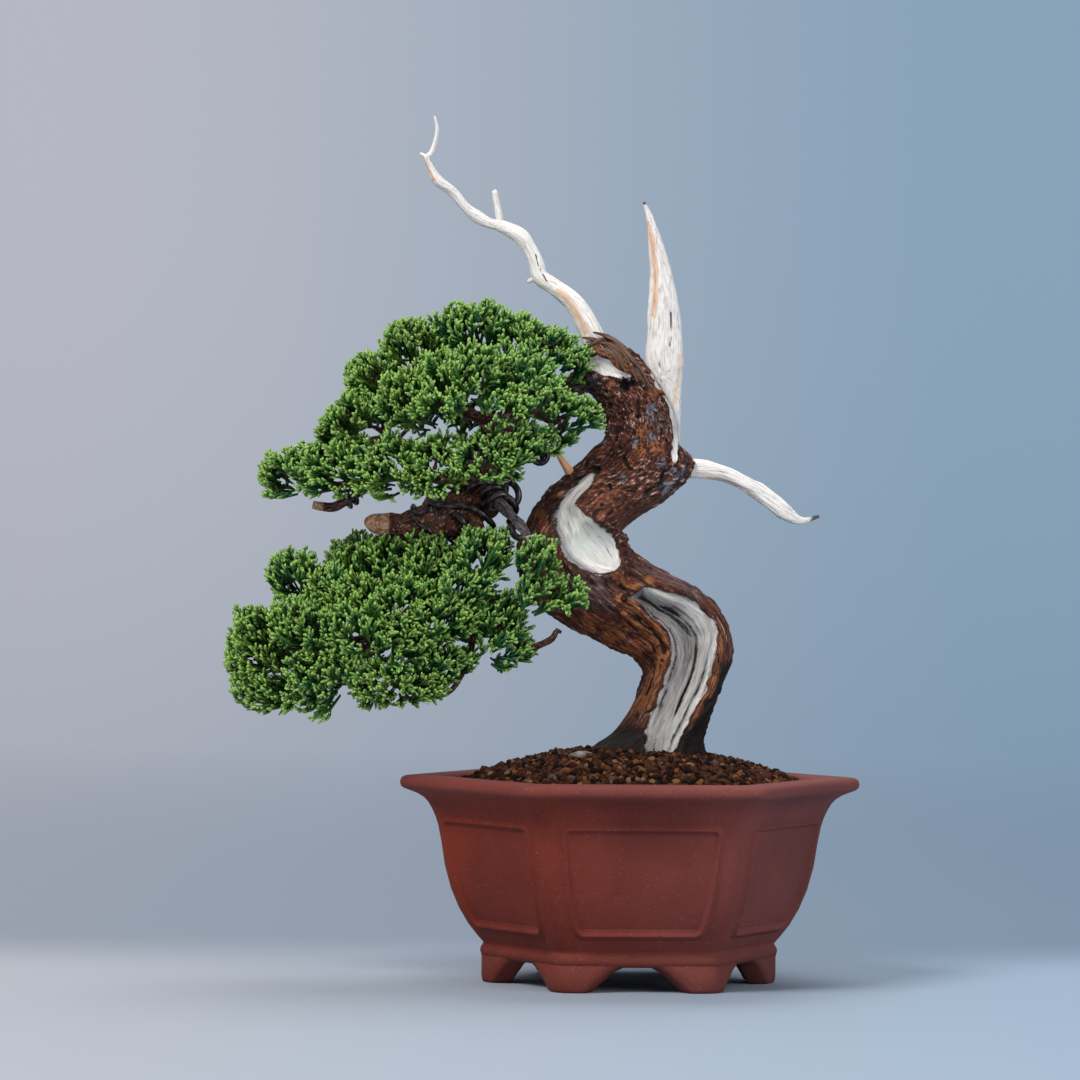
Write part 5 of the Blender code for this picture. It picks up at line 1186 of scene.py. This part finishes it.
def make_trunk(finish):
    """The trunk's skin: an ellipse between the two edges of each rib, middle + across cos a +
    deep sin a, raised by fibres, plates and knots and sunk where its bark is stripped. In the
    stripped places the grain follows the strip: its first number is the place across it."""
    places = np.linspace(0, len(TRUNK_RIBS) - 1, TRUNK_ALONG)
    left_x, left_z, right_x, right_z, depth, thick = smooth_rows(TRUNK_RIBS, places).T[..., None]
    angle = circle(TRUNK_AROUND)
    middle = np.hstack([(left_x + right_x) / 2, depth, (left_z + right_z) / 2])
    half = np.hstack([(right_x - left_x) / 2, 0 * depth, (right_z - left_z) / 2])
    width = np.linalg.norm(half, axis=1)[:, None]
    across = (half / width)[:, None]
    length = running_length(middle)
    ridge = (0.5 * np.cos(5 * angle + 0.55 * places[:, None])
             + 0.3 * np.cos(8 * angle - 0.4 * places[:, None] + 1))
    skin = (middle[:, None] + across * ((width + ridge) * np.cos(angle))[..., None]
            + BACK * ((thick + ridge) * np.sin(angle))[..., None])
    out = unit(across * (np.cos(angle) * thick)[..., None] + BACK * (np.sin(angle) * width)[..., None])
    size = skin.shape[:2]
    grain = grain_place(TRUNK_GRAIN_RADIUS, angle, length, -0.006).reshape(-1, 3)
    along = np.broadcast_to(length[:, None], size).ravel()
    around = np.broadcast_to(angle / (2 * np.pi) * TRUNK_GIRTH, size).ravel()
    plane = seen_from_front(skin).reshape(-1, 2)
    x, z = plane.T
    front = step_between(-out[..., 1], -0.15, 0.2).ravel()

    # Stripped places
    upper, lower, head = (inside_by(plane, edge) for edge in (UPPER_HOLLOW, LOWER_STRIP, HEAD_PATCH))
    wobble = 0.6 * grainy(grain, 0.4, 5)
    inside = strongest(upper, lower, head, 1.1 - near_line(plane, EDGE_STRIP))
    bare = step_between(inside + wobble, -0.3, 0.3) * front
    over_upper = across_strip(plane, UPPER_HOLLOW[:UPPER_TURN], UPPER_HOLLOW[UPPER_TURN:])
    left_edge = LOWER_STRIP[LOWER_TURN:] + LOWER_STRIP[:1]
    over_lower = across_strip(plane, left_edge, LOWER_STRIP[:LOWER_TURN])
    for inside, over, reach in ((upper, over_upper, 12.0), (lower, over_lower, 17.0)):
        stripped = ((inside > -0.2) & (front > 0.5))[:, None]
        in_strip = np.column_stack([over * reach, np.full(len(over), 40.0 + reach), along])
        grain = np.where(stripped, in_strip, grain)
    strands_upper = ridged(soft_noise(np.column_stack([over_upper * 7, 0 * along, along * 0.04]), 21))
    strands_lower = ridged(soft_noise(np.column_stack([over_lower * 9, 0 * along, along * 0.03]), 22))
    in_upper, in_lower = step_between(upper, 0.0, 5.0), step_between(lower, 0.0, 2.0)
    outer_ridge = raised_by(over_lower - 0.83, 0.13) * (lower > -1) * front
    grooved = step_between(z, 88, 96) * (1 - step_between(z, 129, 133))
    gaps = soft_noise(np.column_stack([along * 0.16, over_lower, 0 * along]), 24)
    broken = 0.6 + 0.4 * step_between(gaps, -0.3, 0.3)
    groove = raised_by(over_lower - 0.62, 0.055) * in_lower * grooved * broken
    left_crack = raised_by(over_lower - 0.07, 0.035) * (lower > 0) * grooved
    deep_hollow = raised_by(over_lower - 0.5, 0.14) * step_between(z, 112, 122) * in_lower
    hollow = in_upper * 4.6 + in_lower * (2.9 - 3.0 * outer_ridge) + step_between(head, 0.0, 1.5) * 1.2
    bare_relief = (strands_upper * 0.55 * in_upper + strands_lower * 0.75 * in_lower
                   + 0.16 * grainy(grain, [1.5, 1.5, 0.08], 23)
                   - 2.4 * groove - 1.0 * left_crack - 1.2 * deep_hollow)

    # Rolls, ridges, seams and knots
    lips = raised_by(np.maximum(upper, lower) + 1.3, 1.5)
    by_roll = near_line(plane, CALLUS_ROLL)
    crossing = strongest(raised_by(near_line(plane, CROSSING_ROLL), 1.4),
                         raised_by(near_line(plane, CROSSING_TAIL), 1.1))
    by_ridges = [near_line(plane, line) for line in LEFT_RIDGES]
    ridges = sum(1.5 * raised_by(near, 0.8) for near in by_ridges)
    peel = raised_by(near_lines(plane, PEEL_STRANDS), 0.8)
    swirl = raised_by(near_lines(plane, SWIRLS), 0.5)
    broken_up = step_between(grainy(grain, [0.5, 0.5, 0.3], 26), -0.35, 0.15)
    seam = raised_by(near_lines(plane, SEAMS) + 0.5 * np.abs(wobble), 0.85) * broken_up
    collar = raised_by(near_line(plane, COLLAR), 2.6)
    rim, pit = (scattered * (1 - 0.8 * bare) for scattered in scattered_knots(around, along, 40))
    rim = np.maximum(rim * 0.7, spots(plane, KNOTS) * front)
    pit = np.maximum(pit * 0.6, spots(plane, KNOTS, 0.42) * front)

    # Bark, more scaly towards the top
    high = step_between(z, 160.0, 172.0)
    scaly = np.clip(0.35 + 0.65 * strongest(high, raised_by(by_roll, 3.2) * front, collar), 0, 1)
    fine = grain * np.array([0.5, 0.5, 0.08])
    fibres = ridged(soft_noise(fine, 11)) * 0.4 + soft_noise(fine * 2.3, 12) * 0.2
    lumps = grainy(grain, [0.2, 0.2, 0.09], 14) * 0.85
    plates = grainy(grain, [0.45, 0.45, 0.34], 15) * 0.95 + soft_noise(grain, 16) * 0.45
    flakes = step_between(grainy(grain, [0.42, 0.42, 0.16], 17), 0.15, 0.3) * 0.5
    bark_relief = fibres * (1.15 - 0.6 * scaly) + lumps + plates * scaly + flakes
    bark_relief = bark_relief + 1.1 * rim - 1.9 * pit - 1.1 * seam * front
    moved = bark_relief * (1 - bare) + bare_relief * bare - hollow * front
    moved = moved + (1.3 * lips + 1.8 * raised_by(by_roll, 1.8) + 1.3 * crossing + 0.8 * ridges
                     + 0.9 * peel + 0.45 * swirl + 1.6 * collar * (1 - bare)
                     - 2.6 * spots(plane, DARK_PATCHES[:3])) * front
    above_soil = step_between(length, 20.0, 32.0)[:, None]
    skin = skin + out * (moved.reshape(size) * (0.35 + 0.65 * above_soil))[..., None]

    # Values for the paint
    beside_hollow = raised_by(over_upper - 0.06, 0.12) * (x < -12) * (upper > -0.5)
    # Painted shade: greyer in the top of the lower strip's hollow
    painted_hollow_shade = raised_by(over_lower - 0.42, 0.2) * step_between(z, 104, 118)
    # Grey of the weathered strands, with the painted shade of the hollow added
    weathered = 0.78 - 0.35 * strands_lower + 0.5 * painted_hollow_shade - 0.6 * outer_ridge
    shade = strongest(beside_hollow * 0.9, (lower > -0.5) * weathered, 0.7 * in_lower)
    pale = strongest(step_between(upper, 2.0, 6.0), outer_ridge * 0.25)
    beyond = near_line(plane, LOWER_STRIP[4:LOWER_TURN])
    right_side = (lower < 0) * (x > 18) * (1 - step_between(z, 116.0, 124.0))
    orange = strongest(spots(plane, ORANGE_PATCHES), 0.8 * crossing, 0.8 * np.minimum(ridges, 1),
                       0.62 * peel, 0.62 * swirl, 0.85 * right_side * raised_by(beyond - 1.2, 1.3),
                       0.55 * raised_by(by_ridges[0] - 2.0, 2.5) * (lower < 0))
    charred = front * right_side * step_between(beyond, 2.2, 3.4) * (1 - step_between(z, 104.0, 118.0))
    near_soil = 1 - step_between(skin[..., 2].ravel(), 82.0, 96.0)
    beaded = raised_by(upper - 0.1, 0.7) * (over_upper < 0.3) * broken_up
    between = step_between(-strands_lower, 0.1, 0.5) * in_lower
    beside_fold = raised_by(np.min(by_ridges, axis=0) - 1.5, 0.55) * (lower < -0.3) * broken_up
    # Painted shade in the dark value: the groove, the valleys between strands, the deep hollow, the
    # lines beside the folds and the shaded patches. The rest is the bark's own dark: pits, patches,
    # seams, cracks, char and the black near the soil.
    dark = strongest(pit, spots(plane, DARK_PATCHES) * front, 0.95 * seam * front, groove,
                     left_crack * 0.7, np.maximum(near_soil, charred) * 0.95 * (1 - bare),
                     0.85 * beaded * front, between * np.where(over_lower < 0.62, 0.85, 0.58),
                     0.55 * deep_hollow, 0.8 * beside_fold * front,
                     0.42 * spots(plane, SHADED_PATCHES) * front * (1 - bare))
    shape = Shape()
    shape.add_rings(skin, grain=grain, bare=bare, scaly=scaly, dark=dark, pale=pale * front,
                    rim=np.clip(rim - pit, 0, 1) * (1 - bare), shade=np.clip(shade, 0, 1) * front,
                    orange=orange * front * (1 - 0.85 * bare), grey=spots(plane, GREY_PATCHES) * front,
                    purple=spots(plane, PURPLE_PATCHES) * front)
    for seed, line in enumerate(LOOSE_STRANDS):
        add_strand(shape, line, seed)
    return shape.make("trunk_skin", finish, ["trunk"])


def branch_rings(route, sides, seed, knobs):
    """Rings round a branch's route, raised by fibres and knobs in share of its radius, and
    their places in its grain."""
    rings, out, length, angle = tube_rings(route, sides)
    radius = route[:, 3]
    grain = grain_place(3.0 + radius * 0.6, angle, length + 37.0 * seed, 0.03)
    fine, lumps = grainy(grain, [0.8, 0.8, 0.16], seed), grainy(grain, [0.35, 0.35, 0.22], seed + 50)
    return rings + out * ((0.6 * fine + lumps) * knobs * radius[:, None])[..., None], grain


def nearest_on(points, target):
    """Nearest point to the target on a branch's line."""
    points = np.asarray(points, float)[:, :3]
    a, b = points[:-1], points[1:]
    share = np.clip(np.sum((target - a) * (b - a), 1) / np.sum((b - a) ** 2, 1), 0, 1)
    near = a + (b - a) * share[:, None]
    return near[np.argmin(np.linalg.norm(target - near, axis=1))]


def spray_root(branch, tufts):
    """Start, end and direction of the twig that carries a spray: from the nearest point of its
    branch towards the middle of its tufts, ending short of the nearest one."""
    centres = np.array([tuft[:3] for tuft in tufts], float)
    start = nearest_on(BRANCHES[branch], centres.mean(axis=0))
    along = unit(centres.mean(axis=0) - start)
    size = np.mean([tuft[3:] for tuft in tufts])
    reach = ((centres - start) @ along).min() - 0.5 * size
    return start, start + along * max(reach, 4.0), along


def make_branches(finish):
    """Every live branch and the twigs that carry the sprays, with their bark. The main branch
    ends in a rounded cut."""
    shape = Shape()
    for seed, (name, points) in enumerate(BRANCHES.items()):
        step, sides, knobs = (0.7, 44, 0.2) if name.startswith("main") else (1.2, 12, 0.26)
        rings, grain = branch_rings(route_through(points, step), sides, seed, knobs)
        x = rings[..., 0]
        lichen = 0.5 * step_between(soft_noise(grain * 0.12, seed + 90), 0.1, 0.5)
        values = {"grain": grain, "scaly": 0.85, "grey": lichen, "purple": 0.3, "rim": 0.52}
        if name == "main":
            values["cut"] = step_between(-x, 83.4, 84.2)
            values["purple"] = np.maximum(0.3, step_between(x, -40.0, -32.0))
            values["grey"] = np.maximum(lichen, 0.42 * step_between(x, -42.0, -34.0))
        if name == "across_trunk":
            values["grey"] = 0.9
        if name == "shelf_stub":
            values["cut"] = step_between(-x, 105.8, 107.2)
        shape.add_rings(rings, **values)
    for seed, (branch, tufts) in enumerate(SPRAYS.values()):
        start, end, _ = spray_root(branch, tufts)
        bend = (start + end) / 2 + UP * 0.06 * np.linalg.norm(end - start)
        route = route_through([(*start, 0.9), (*bend, 0.7), (*end, 0.55)], 2.0)
        rings, grain = branch_rings(route, 8, seed + 200, 0.2)
        shape.add_rings(rings, grain=grain, scaly=1, purple=0.6)
    return shape.make("branches", finish, ["trunk"])


def at_depth(line, depth):
    """A line of the front view with its depth read from a table of x and depth."""
    x, z, radius = np.array(line, float).T
    return np.column_stack([x, np.interp(x, *np.array(sorted(depth), float).T), z, radius])


def marks(rings, name):
    """How strongly each point of the deadwood is marked, the strongest mark of its table."""
    plane = seen_from_front(rings).reshape(-1, 2)
    fields = [strength * raised_by(near_line(plane, line), width)
              for strength, width, line in MARKS[name]]
    return strongest(*fields).reshape(rings.shape[:2])


def grained(route, sides, seed, relief, flat=1.0, side=None, twist=0.03):
    """Rings of bare wood: long ridges along the grain that turn with the twist."""
    rings, out, length, angle = tube_rings(route, sides, flat, side)
    radius = route[:, 3]
    grain = grain_place(2.5 + radius, angle, length + 53.0 * seed, twist)
    ridges = ridged(grainy(grain, [0.6, 0.6, 0.05], seed))
    fine = grainy(grain, [1.6, 1.6, 0.12], seed + 31)
    lumps = grainy(grain, [0.3, 0.3, 0.14], seed + 32)
    swell = (0.6 * ridges + 0.3 * fine + 0.8 * lumps) * relief * np.minimum(radius, 2.6)[:, None]
    return rings + out * swell[..., None], grain


def make_apex(finish):
    """The long bare leader that climbs to the left, with its three broken twigs."""
    shape = Shape()
    for seed, line in enumerate([APEX_LINE, *APEX_TWIGS]):
        route = route_through(at_depth(line, APEX_DEPTH), 0.45)
        rings, grain = grained(route, 40 if seed == 0 else 12, 60 + seed, 0.08)
        crack = marks(rings, "leader_crack") * step_between(soft_noise(grain * 0.5, 7), -0.3, 0.1)
        shape.add_rings(rings, grain=grain, orange=marks(rings, "leader_orange"), dark=crack)
    return shape.make("leader_jin", finish, ["jin_apex"])


def make_spear(finish):
    """The flat spear: ellipses square to its line, thin from front to back, split by cracks."""
    route = route_through(at_depth(SPEAR_LINE[::-1], SPEAR_DEPTH), 0.6)
    rings, grain = grained(route, 64, 70, 0.11, 0.42, RIGHT, 0.002)
    cracks = marks(rings, "spear_crack") * step_between(soft_noise(grain * 0.4, 8), -0.3, 0.1)
    orange = marks(rings, "spear_orange")
    tip = step_between(seen_from_front(rings)[..., 1], 267.0, 269.0)
    sunk = cracks * 0.8 * (rings[..., 1] < SPEAR_DEPTH[0][1])
    rings = rings + BACK * sunk[..., None]
    shape = Shape()
    shape.add_rings(rings, grain=grain, orange=orange, dark=np.maximum(cracks, tip))
    return shape.make("spear_jin", finish, ["jin_spear"])


def make_right_jin(finish):
    """The bare branch to the right, bent down to a hooked dark tip."""
    route = route_through(at_depth(RIGHT_LINE, RIGHT_DEPTH), 0.45)
    rings, grain = grained(route, 44, 80, 0.17, 0.8, UP, 0.02)
    tip = step_between(seen_from_front(rings)[..., 0], 59.0, 63.0) * 0.8
    shape = Shape()
    shape.add_rings(rings, grain=grain, orange=marks(rings, "right_orange"), dark=tip)
    return shape.make("right_jin", finish, ["jin_right"])


def make_stub(finish):
    """The short orange stub of a branch broken off not long ago."""
    rings, grain = grained(route_through(at_depth(STUB_LINE, STUB_DEPTH), 0.35), 20, 90, 0.2)
    shape = Shape()
    shape.add_rings(rings, grain=grain)
    return shape.make("orange_stub", finish, ["jin_stub"])


# Wires
def winding(points, first, last, turns, start, wire):
    """A wire wound round a branch: its middle + reach (side cos a + back sin a), with the angle
    growing by whole turns along the branch."""
    route = route_through(points, 1.0)
    length = running_length(route[:, :3])
    share = np.linspace(0, 1, round(turns * TURN_STEPS) + 1)
    at = first + (last - first) * share
    middle, ahead, behind = (np.column_stack([np.interp(at + d, length, route[:, c]) for c in range(3)])
                             for d in (0, 1, -1))
    run = unit(ahead - behind)
    side = unit(np.cross(run, BACK))
    back = np.cross(side, run)
    angle = 2 * np.pi * (start + turns * share)[:, None]
    reach = np.interp(at, length, route[:, 3]) + GAP + wire
    place = middle + (side * np.cos(angle) + back * np.sin(angle)) * reach[:, None]
    return np.column_stack([place, np.full(len(place), wire)])


def make_wires(finish):
    """The training wires and the tie wire, as round bars with closed ends."""
    x, y, z, reach = EYE
    t = np.linspace(-0.5 * math.pi, 1.75 * math.pi, 40)
    eye = np.column_stack([x + reach * np.cos(t), y + EYE_RISE * t, z + reach * np.sin(t),
                           np.full(len(t), HEAVY_WIRE)])
    routes = {"wire_upper": [np.concatenate([eye, EYE_LEAD])],
              "tie_wire": [route_through(TIE_WIRE, 0.6)]}
    for name, (branch, *rest) in WINDINGS.items():
        routes[name] = [winding(BRANCHES[branch], *rest)]
    for name, bends in FRONT_WIRES.items():
        routes[name] += [route_through([(*p, radius) for p in bend], 0.8) for radius, bend in bends]
    for name, bars in routes.items():
        shape = Shape()
        for bar in bars:
            shape.add_rings(tube_rings(bar, 12)[0])
        shape.make(name + "_round", finish, [name])


# Foliage
# Rings of a cord: share of its length, width
CORD_RINGS = np.array([(0.0, 0.95), (0.5, 1.05), (0.88, 0.9), (1.0, 0.36)])
CORD_SIDES = 4


def cord_skins(start, tip, bend, radius, twist):
    """Cords as four-sided skins: start + (tip - start) s + bend 4 s (1 - s), with rings made
    wide and narrow by turns as the pairs of scale leaves cross over. Also gives their lines."""
    s, wide = CORD_RINGS[:, :1], CORD_RINGS[:, 1:]
    span = tip - start
    line = start[:, None] + span[:, None] * s + bend[:, None] * (4 * s * (1 - s))
    run = unit(span)
    u = unit(np.cross(run, np.where(np.abs(run[:, 2:]) < 0.8, UP, RIGHT)))
    v = np.cross(run, u)
    c, sn = np.cos(twist)[:, None], np.sin(twist)[:, None]
    u, v = u * c + v * sn, v * c - u * sn
    cross = np.where(np.arange(len(s)) % 2 == 0, 1.14, 0.86)[:, None]
    angle = circle(CORD_SIDES)
    ring = (u[:, None, None] * (np.cos(angle) * cross * wide)[..., None]
            + v[:, None, None] * (np.sin(angle) * (2 - cross) * wide)[..., None])
    return line[:, :, None] + ring * radius[:, None, None, None], line


def cord_faces():
    """Faces of one cord's skin, closed by one face at each end."""
    around, last = np.arange(CORD_SIDES), CORD_SIDES * (len(CORD_RINGS) - 1)
    bands = band_faces(len(CORD_RINGS), CORD_SIDES)[:last]
    return np.concatenate([bands, [around[::-1]], [last + around]])


def sphere_directions(count, rng):
    """Directions even over the sphere, on a spiral from pole to pole, turned at random."""
    k = np.arange(count) + 0.5
    z = 1 - 2 * k / count
    angle = math.pi * (1 + 5 ** 0.5) * k + rng.uniform(0, 2 * math.pi)
    ring = np.sqrt(1 - z ** 2)
    return np.column_stack([ring * np.cos(angle), ring * np.sin(angle), z])


def forks(start, run, length, side, flat, count, opening, keep, least, rng):
    """Cords that leave some others at even shares of their lengths, by turns to each side and
    turned a little out of the frond's plane. Their length is keep (1 - share) of the carrier's
    and a least length more, times a random number near one."""
    made = []
    for k in range(count):
        share = 0.16 + 0.7 * (k + 0.3) / count + rng.uniform(-0.06, 0.06, (len(start), 1))
        hand = 1.0 if k % 2 else -1.0
        open_by = np.radians(rng.uniform(*opening, (len(start), 1)))
        turn = rng.normal(0, 0.6, (len(start), 1))
        out = side * hand * np.cos(turn) + flat * np.sin(turn)
        heading = unit(run * np.cos(open_by) + out * np.sin(open_by) + UP * 0.16)
        reach = (length * (1 - share) * keep + least) * rng.uniform(0.7, 1.15, (len(start), 1))
        made.append((start + run * length * share, heading, reach))
    return [np.concatenate(part) for part in zip(*made)]


def held_inside(start, heading, reach, tuft, rng):
    """Cords cut back near the pad's outline, each by its own allowance so that the edge stays
    ragged. Those far outside are dropped."""
    pad = UPPER_PAD if tuft[2] > PADS_PART else LOWER_PAD
    allowed = rng.uniform(-1.2, 2.6, len(start))
    spare = inside_by(seen_from_front(start + heading * reach), pad) + allowed
    reach = reach * np.clip(1 + spare / reach[:, 0], 0.55, 1)[:, None]
    spare = inside_by(seen_from_front(start + heading * reach), pad) + allowed
    return reach, (spare > -1.2) & (reach[:, 0] > 1.2)


def tuft_cords(tuft, root, rng):
    """Cords of one tuft as start, heading, reach and hue. Each frond has an axis that grows away
    from the wood, side cords that open from it like coral, and short tips on those. Only cords
    that are kept inside the pad carry others."""
    centre, size = np.array(tuft[:3], float), np.array(tuft[3:], float) * TUFT_GROWTH
    away = unit(centre - root)
    count = round(FRONDS_ON_TUFT * (np.prod(tuft[3:]) ** (1 / 3) / MIDDLE_TUFT) ** 2)
    way = sphere_directions(count, rng)
    way[:, 2] = way[:, 2] * 0.8 + 0.1
    pad = PAD_CENTRES[0 if centre[2] > PADS_PART else 1]
    outward = unit((centre - pad) * np.array([1.0, 0.7, 0.9]))
    grow = unit(UP * 0.45 + outward * 0.75 + away * 0.3)
    lean = unit(way * np.array([1.0, 0.8, 1.0]) + grow * 0.5)
    low = centre - UP * size[2] * 0.12
    start = low + size * (way * np.array([0.5, 0.5, 0.45]) - grow * 0.45)
    start += rng.normal(0, 0.7, way.shape)
    tip = low + size * lean * rng.uniform(0.7, 1.14, (count, 1))
    reach = np.linalg.norm(tip - start, axis=1, keepdims=True)
    run = (tip - start) / reach
    hue = rng.random(count) * 0.7 + 0.3 * rng.random()
    hue *= 0.5 + 0.5 * step_between(-centre[0], 25.0, 85.0)
    reach, keep = held_inside(start, run, reach, tuft, rng)
    cords = [(start[keep], run[keep], reach[keep], hue[keep])]
    for number, opening, share, least in ((SIDES_ON_FROND, (24, 42), 0.45, 3.0),
                                          (TIPS_ON_SIDE, (22, 38), 0.25, 2.6)):
        start, run, reach, hue = cords[-1]
        side = unit(np.cross(run, rng.normal(0, 0.6, run.shape) - BACK * 0.7))
        flat = np.cross(run, side)
        start, run, reach = forks(start, run, reach, side, flat, number, opening, share, least, rng)
        reach, keep = held_inside(start, run, reach, tuft, rng)
        cords.append((start[keep], run[keep], reach[keep], np.tile(hue, number)[keep]))
    return [np.concatenate(parts) for parts in zip(*cords)]


def make_spray(name, branch, tufts, seed, finish):
    """One spray: a woody core to each tuft and the tuft's cords."""
    rng = np.random.default_rng(seed)
    shape = Shape()
    _, end, along = spray_root(branch, tufts)
    root, fork = end - along * 0.6, end + along * (GAP + 2.5)
    for tuft in tufts:
        centre, size = np.array(tuft[:3], float), np.array(tuft[3:], float) * TUFT_GROWTH
        middle = fork * 0.4 + centre * 0.6
        route = route_through([(*root, 0.8), (*fork, 0.8), (*middle, 0.7), (*centre, 0.5)], 2.0)
        shape.add_rings(tube_rings(route, 6)[0], wood=1)
        start, heading, reach, hue = tuft_cords(tuft, fork, rng)
        count = len(start)
        bend = UP * -0.03 * reach + rng.normal(0, 0.06, start.shape) * reach
        radius = CORD_RADIUS * rng.uniform(0.85, 1.2, count)
        twist = rng.uniform(0, np.pi, count)
        skins, line = cord_skins(start, start + heading * reach, bend, radius, twist)
        step = (np.arange(count) * len(CORD_RINGS) * CORD_SIDES)[:, None, None]
        depth = np.clip(np.linalg.norm((line - centre) / size, axis=2), 0, 1)
        grown = np.exp(-(1 - CORD_RINGS[:, 0]) * reach / NEW_GROWTH)
        values = {"tip": grown, "depth": depth, "hue": hue[:, None]}
        values = {key: np.broadcast_to(value[..., None], skins.shape[:3]).ravel()
                  for key, value in values.items()}
        shape.add(skins.reshape(-1, 3), cord_faces() + step, [], **values)
    return shape.make("spray_" + name, finish, ["foliage_" + name])


# Studio
SHEET_FROM, SHEET_FAR, SHEET_ROUND, SHEET_TOP, SHEET_WIDE = -4200.0, 1900.0, 500.0, 3200.0, 3000.0
# Lamps: place, size, power, colour
LAMPS = {"key": ((-0.9, -1.1, 1.5), 0.7, 31.0, (1.0, 0.98, 0.95)),
         "fill": ((1.3, -1.2, 0.7), 1.2, 12.0, (1.0, 0.975, 0.95)),
         "top": ((0.1, 0.5, 1.6), 1.0, 12.0, (1.0, 1.0, 1.0))}
LAMPS_AIM = (0.0, 0.0, 0.14)


def make_backdrop(finish):
    """A floor that curves up behind the tree: a quarter circle between two flat sheets."""
    bend = np.radians(np.linspace(0, 90, 24))
    profile = [(SHEET_FROM, 0.0), (-300.0, 0.0), (300.0, 0.0), (SHEET_FAR, 0.0)]
    profile += [(SHEET_FAR + SHEET_ROUND * math.sin(t), SHEET_ROUND - SHEET_ROUND * math.cos(t))
                for t in bend]
    profile += [(SHEET_FAR + SHEET_ROUND, SHEET_TOP)]
    points = [Vector((x * SHEET_WIDE, y, z)) * MM for y, z in profile for x in (-1, 1)]
    faces = [(2 * i, 2 * i + 1, 2 * i + 3, 2 * i + 2) for i in range(len(profile) - 1)]
    mesh = bpy.data.meshes.new("backdrop")
    mesh.from_pydata(points, [], faces)
    mesh.polygons.foreach_set("use_smooth", np.ones(len(faces), bool))
    mesh.materials.append(finish)
    sheet = bpy.data.objects.new("backdrop", mesh)
    bpy.context.scene.collection.objects.link(sheet)


def add_lamp(name, at, size, power, colour):
    """A soft square lamp that shines at the middle of the tree."""
    data = bpy.data.lights.new(name, "AREA")
    data.shape = "SQUARE"
    data.size = size
    data.energy = power
    data.color = colour
    lamp = bpy.data.objects.new(name, data)
    lamp.location = at
    aim = Vector(LAMPS_AIM) - lamp.location
    lamp.rotation_euler = aim.to_track_quat("-Z", "Y").to_euler()
    bpy.context.scene.collection.objects.link(lamp)


def make_studio():
    """The camera at the photo's place, three soft lamps and a pale blue sky."""
    make_backdrop(material("studio_sheet", floor_paint))
    for name, lamp in LAMPS.items():
        add_lamp(name, *lamp)
    world = bpy.data.worlds.new("studio_air")
    world.use_nodes = True
    air = world.node_tree.nodes["Background"]
    air.inputs["Color"].default_value = (0.78, 0.85, 0.93, 1.0)
    air.inputs["Strength"].default_value = 0.4
    bpy.context.scene.world = world
    data = bpy.data.cameras.new("photo_camera")
    data.sensor_width = 36.0
    data.lens = CAMERA_LENS
    data.clip_end = 20.0
    camera = bpy.data.objects.new("photo_camera", data)
    camera.location = Vector((CAMERA_AT + SHIFT) * MM)
    camera.rotation_euler = Euler((math.pi / 2, -CAMERA_ROLL, 0.0), "XYZ")
    bpy.context.scene.collection.objects.link(camera)
    bpy.context.scene.camera = camera
    bpy.context.scene.view_settings.view_transform = "Standard"


def main():
    """Make the materials, then every piece, then the studio."""
    clay = material("unglazed_clay", clay_paint)
    ground = material("crumbled_soil", soil_paint)
    grains = material("soil_granules", granule_paint)
    stone = material("weathered_stone", stone_paint)
    bark = material("juniper_bark", bark_paint)
    deadwood = material("bleached_wood", deadwood_paint)
    fresh = material("fresh_cut_wood", fresh_wood_paint)
    wire = material("bronze_wire", wire_paint)
    leaves = material("scale_leaves", foliage_paint)

    make_pot(clay)
    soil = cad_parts["soil"]
    soil.data.materials.clear()
    soil.data.materials.append(ground)
    make_granules(grains)
    make_pebble(stone)
    make_trunk(bark)
    make_branches(bark)
    make_apex(deadwood)
    make_spear(deadwood)
    make_right_jin(deadwood)
    make_stub(fresh)
    make_wires(wire)
    for seed, (name, (branch, tufts)) in enumerate(SPRAYS.items()):
        make_spray(name, branch, tufts, 300 + seed, leaves)
    make_studio()


main()
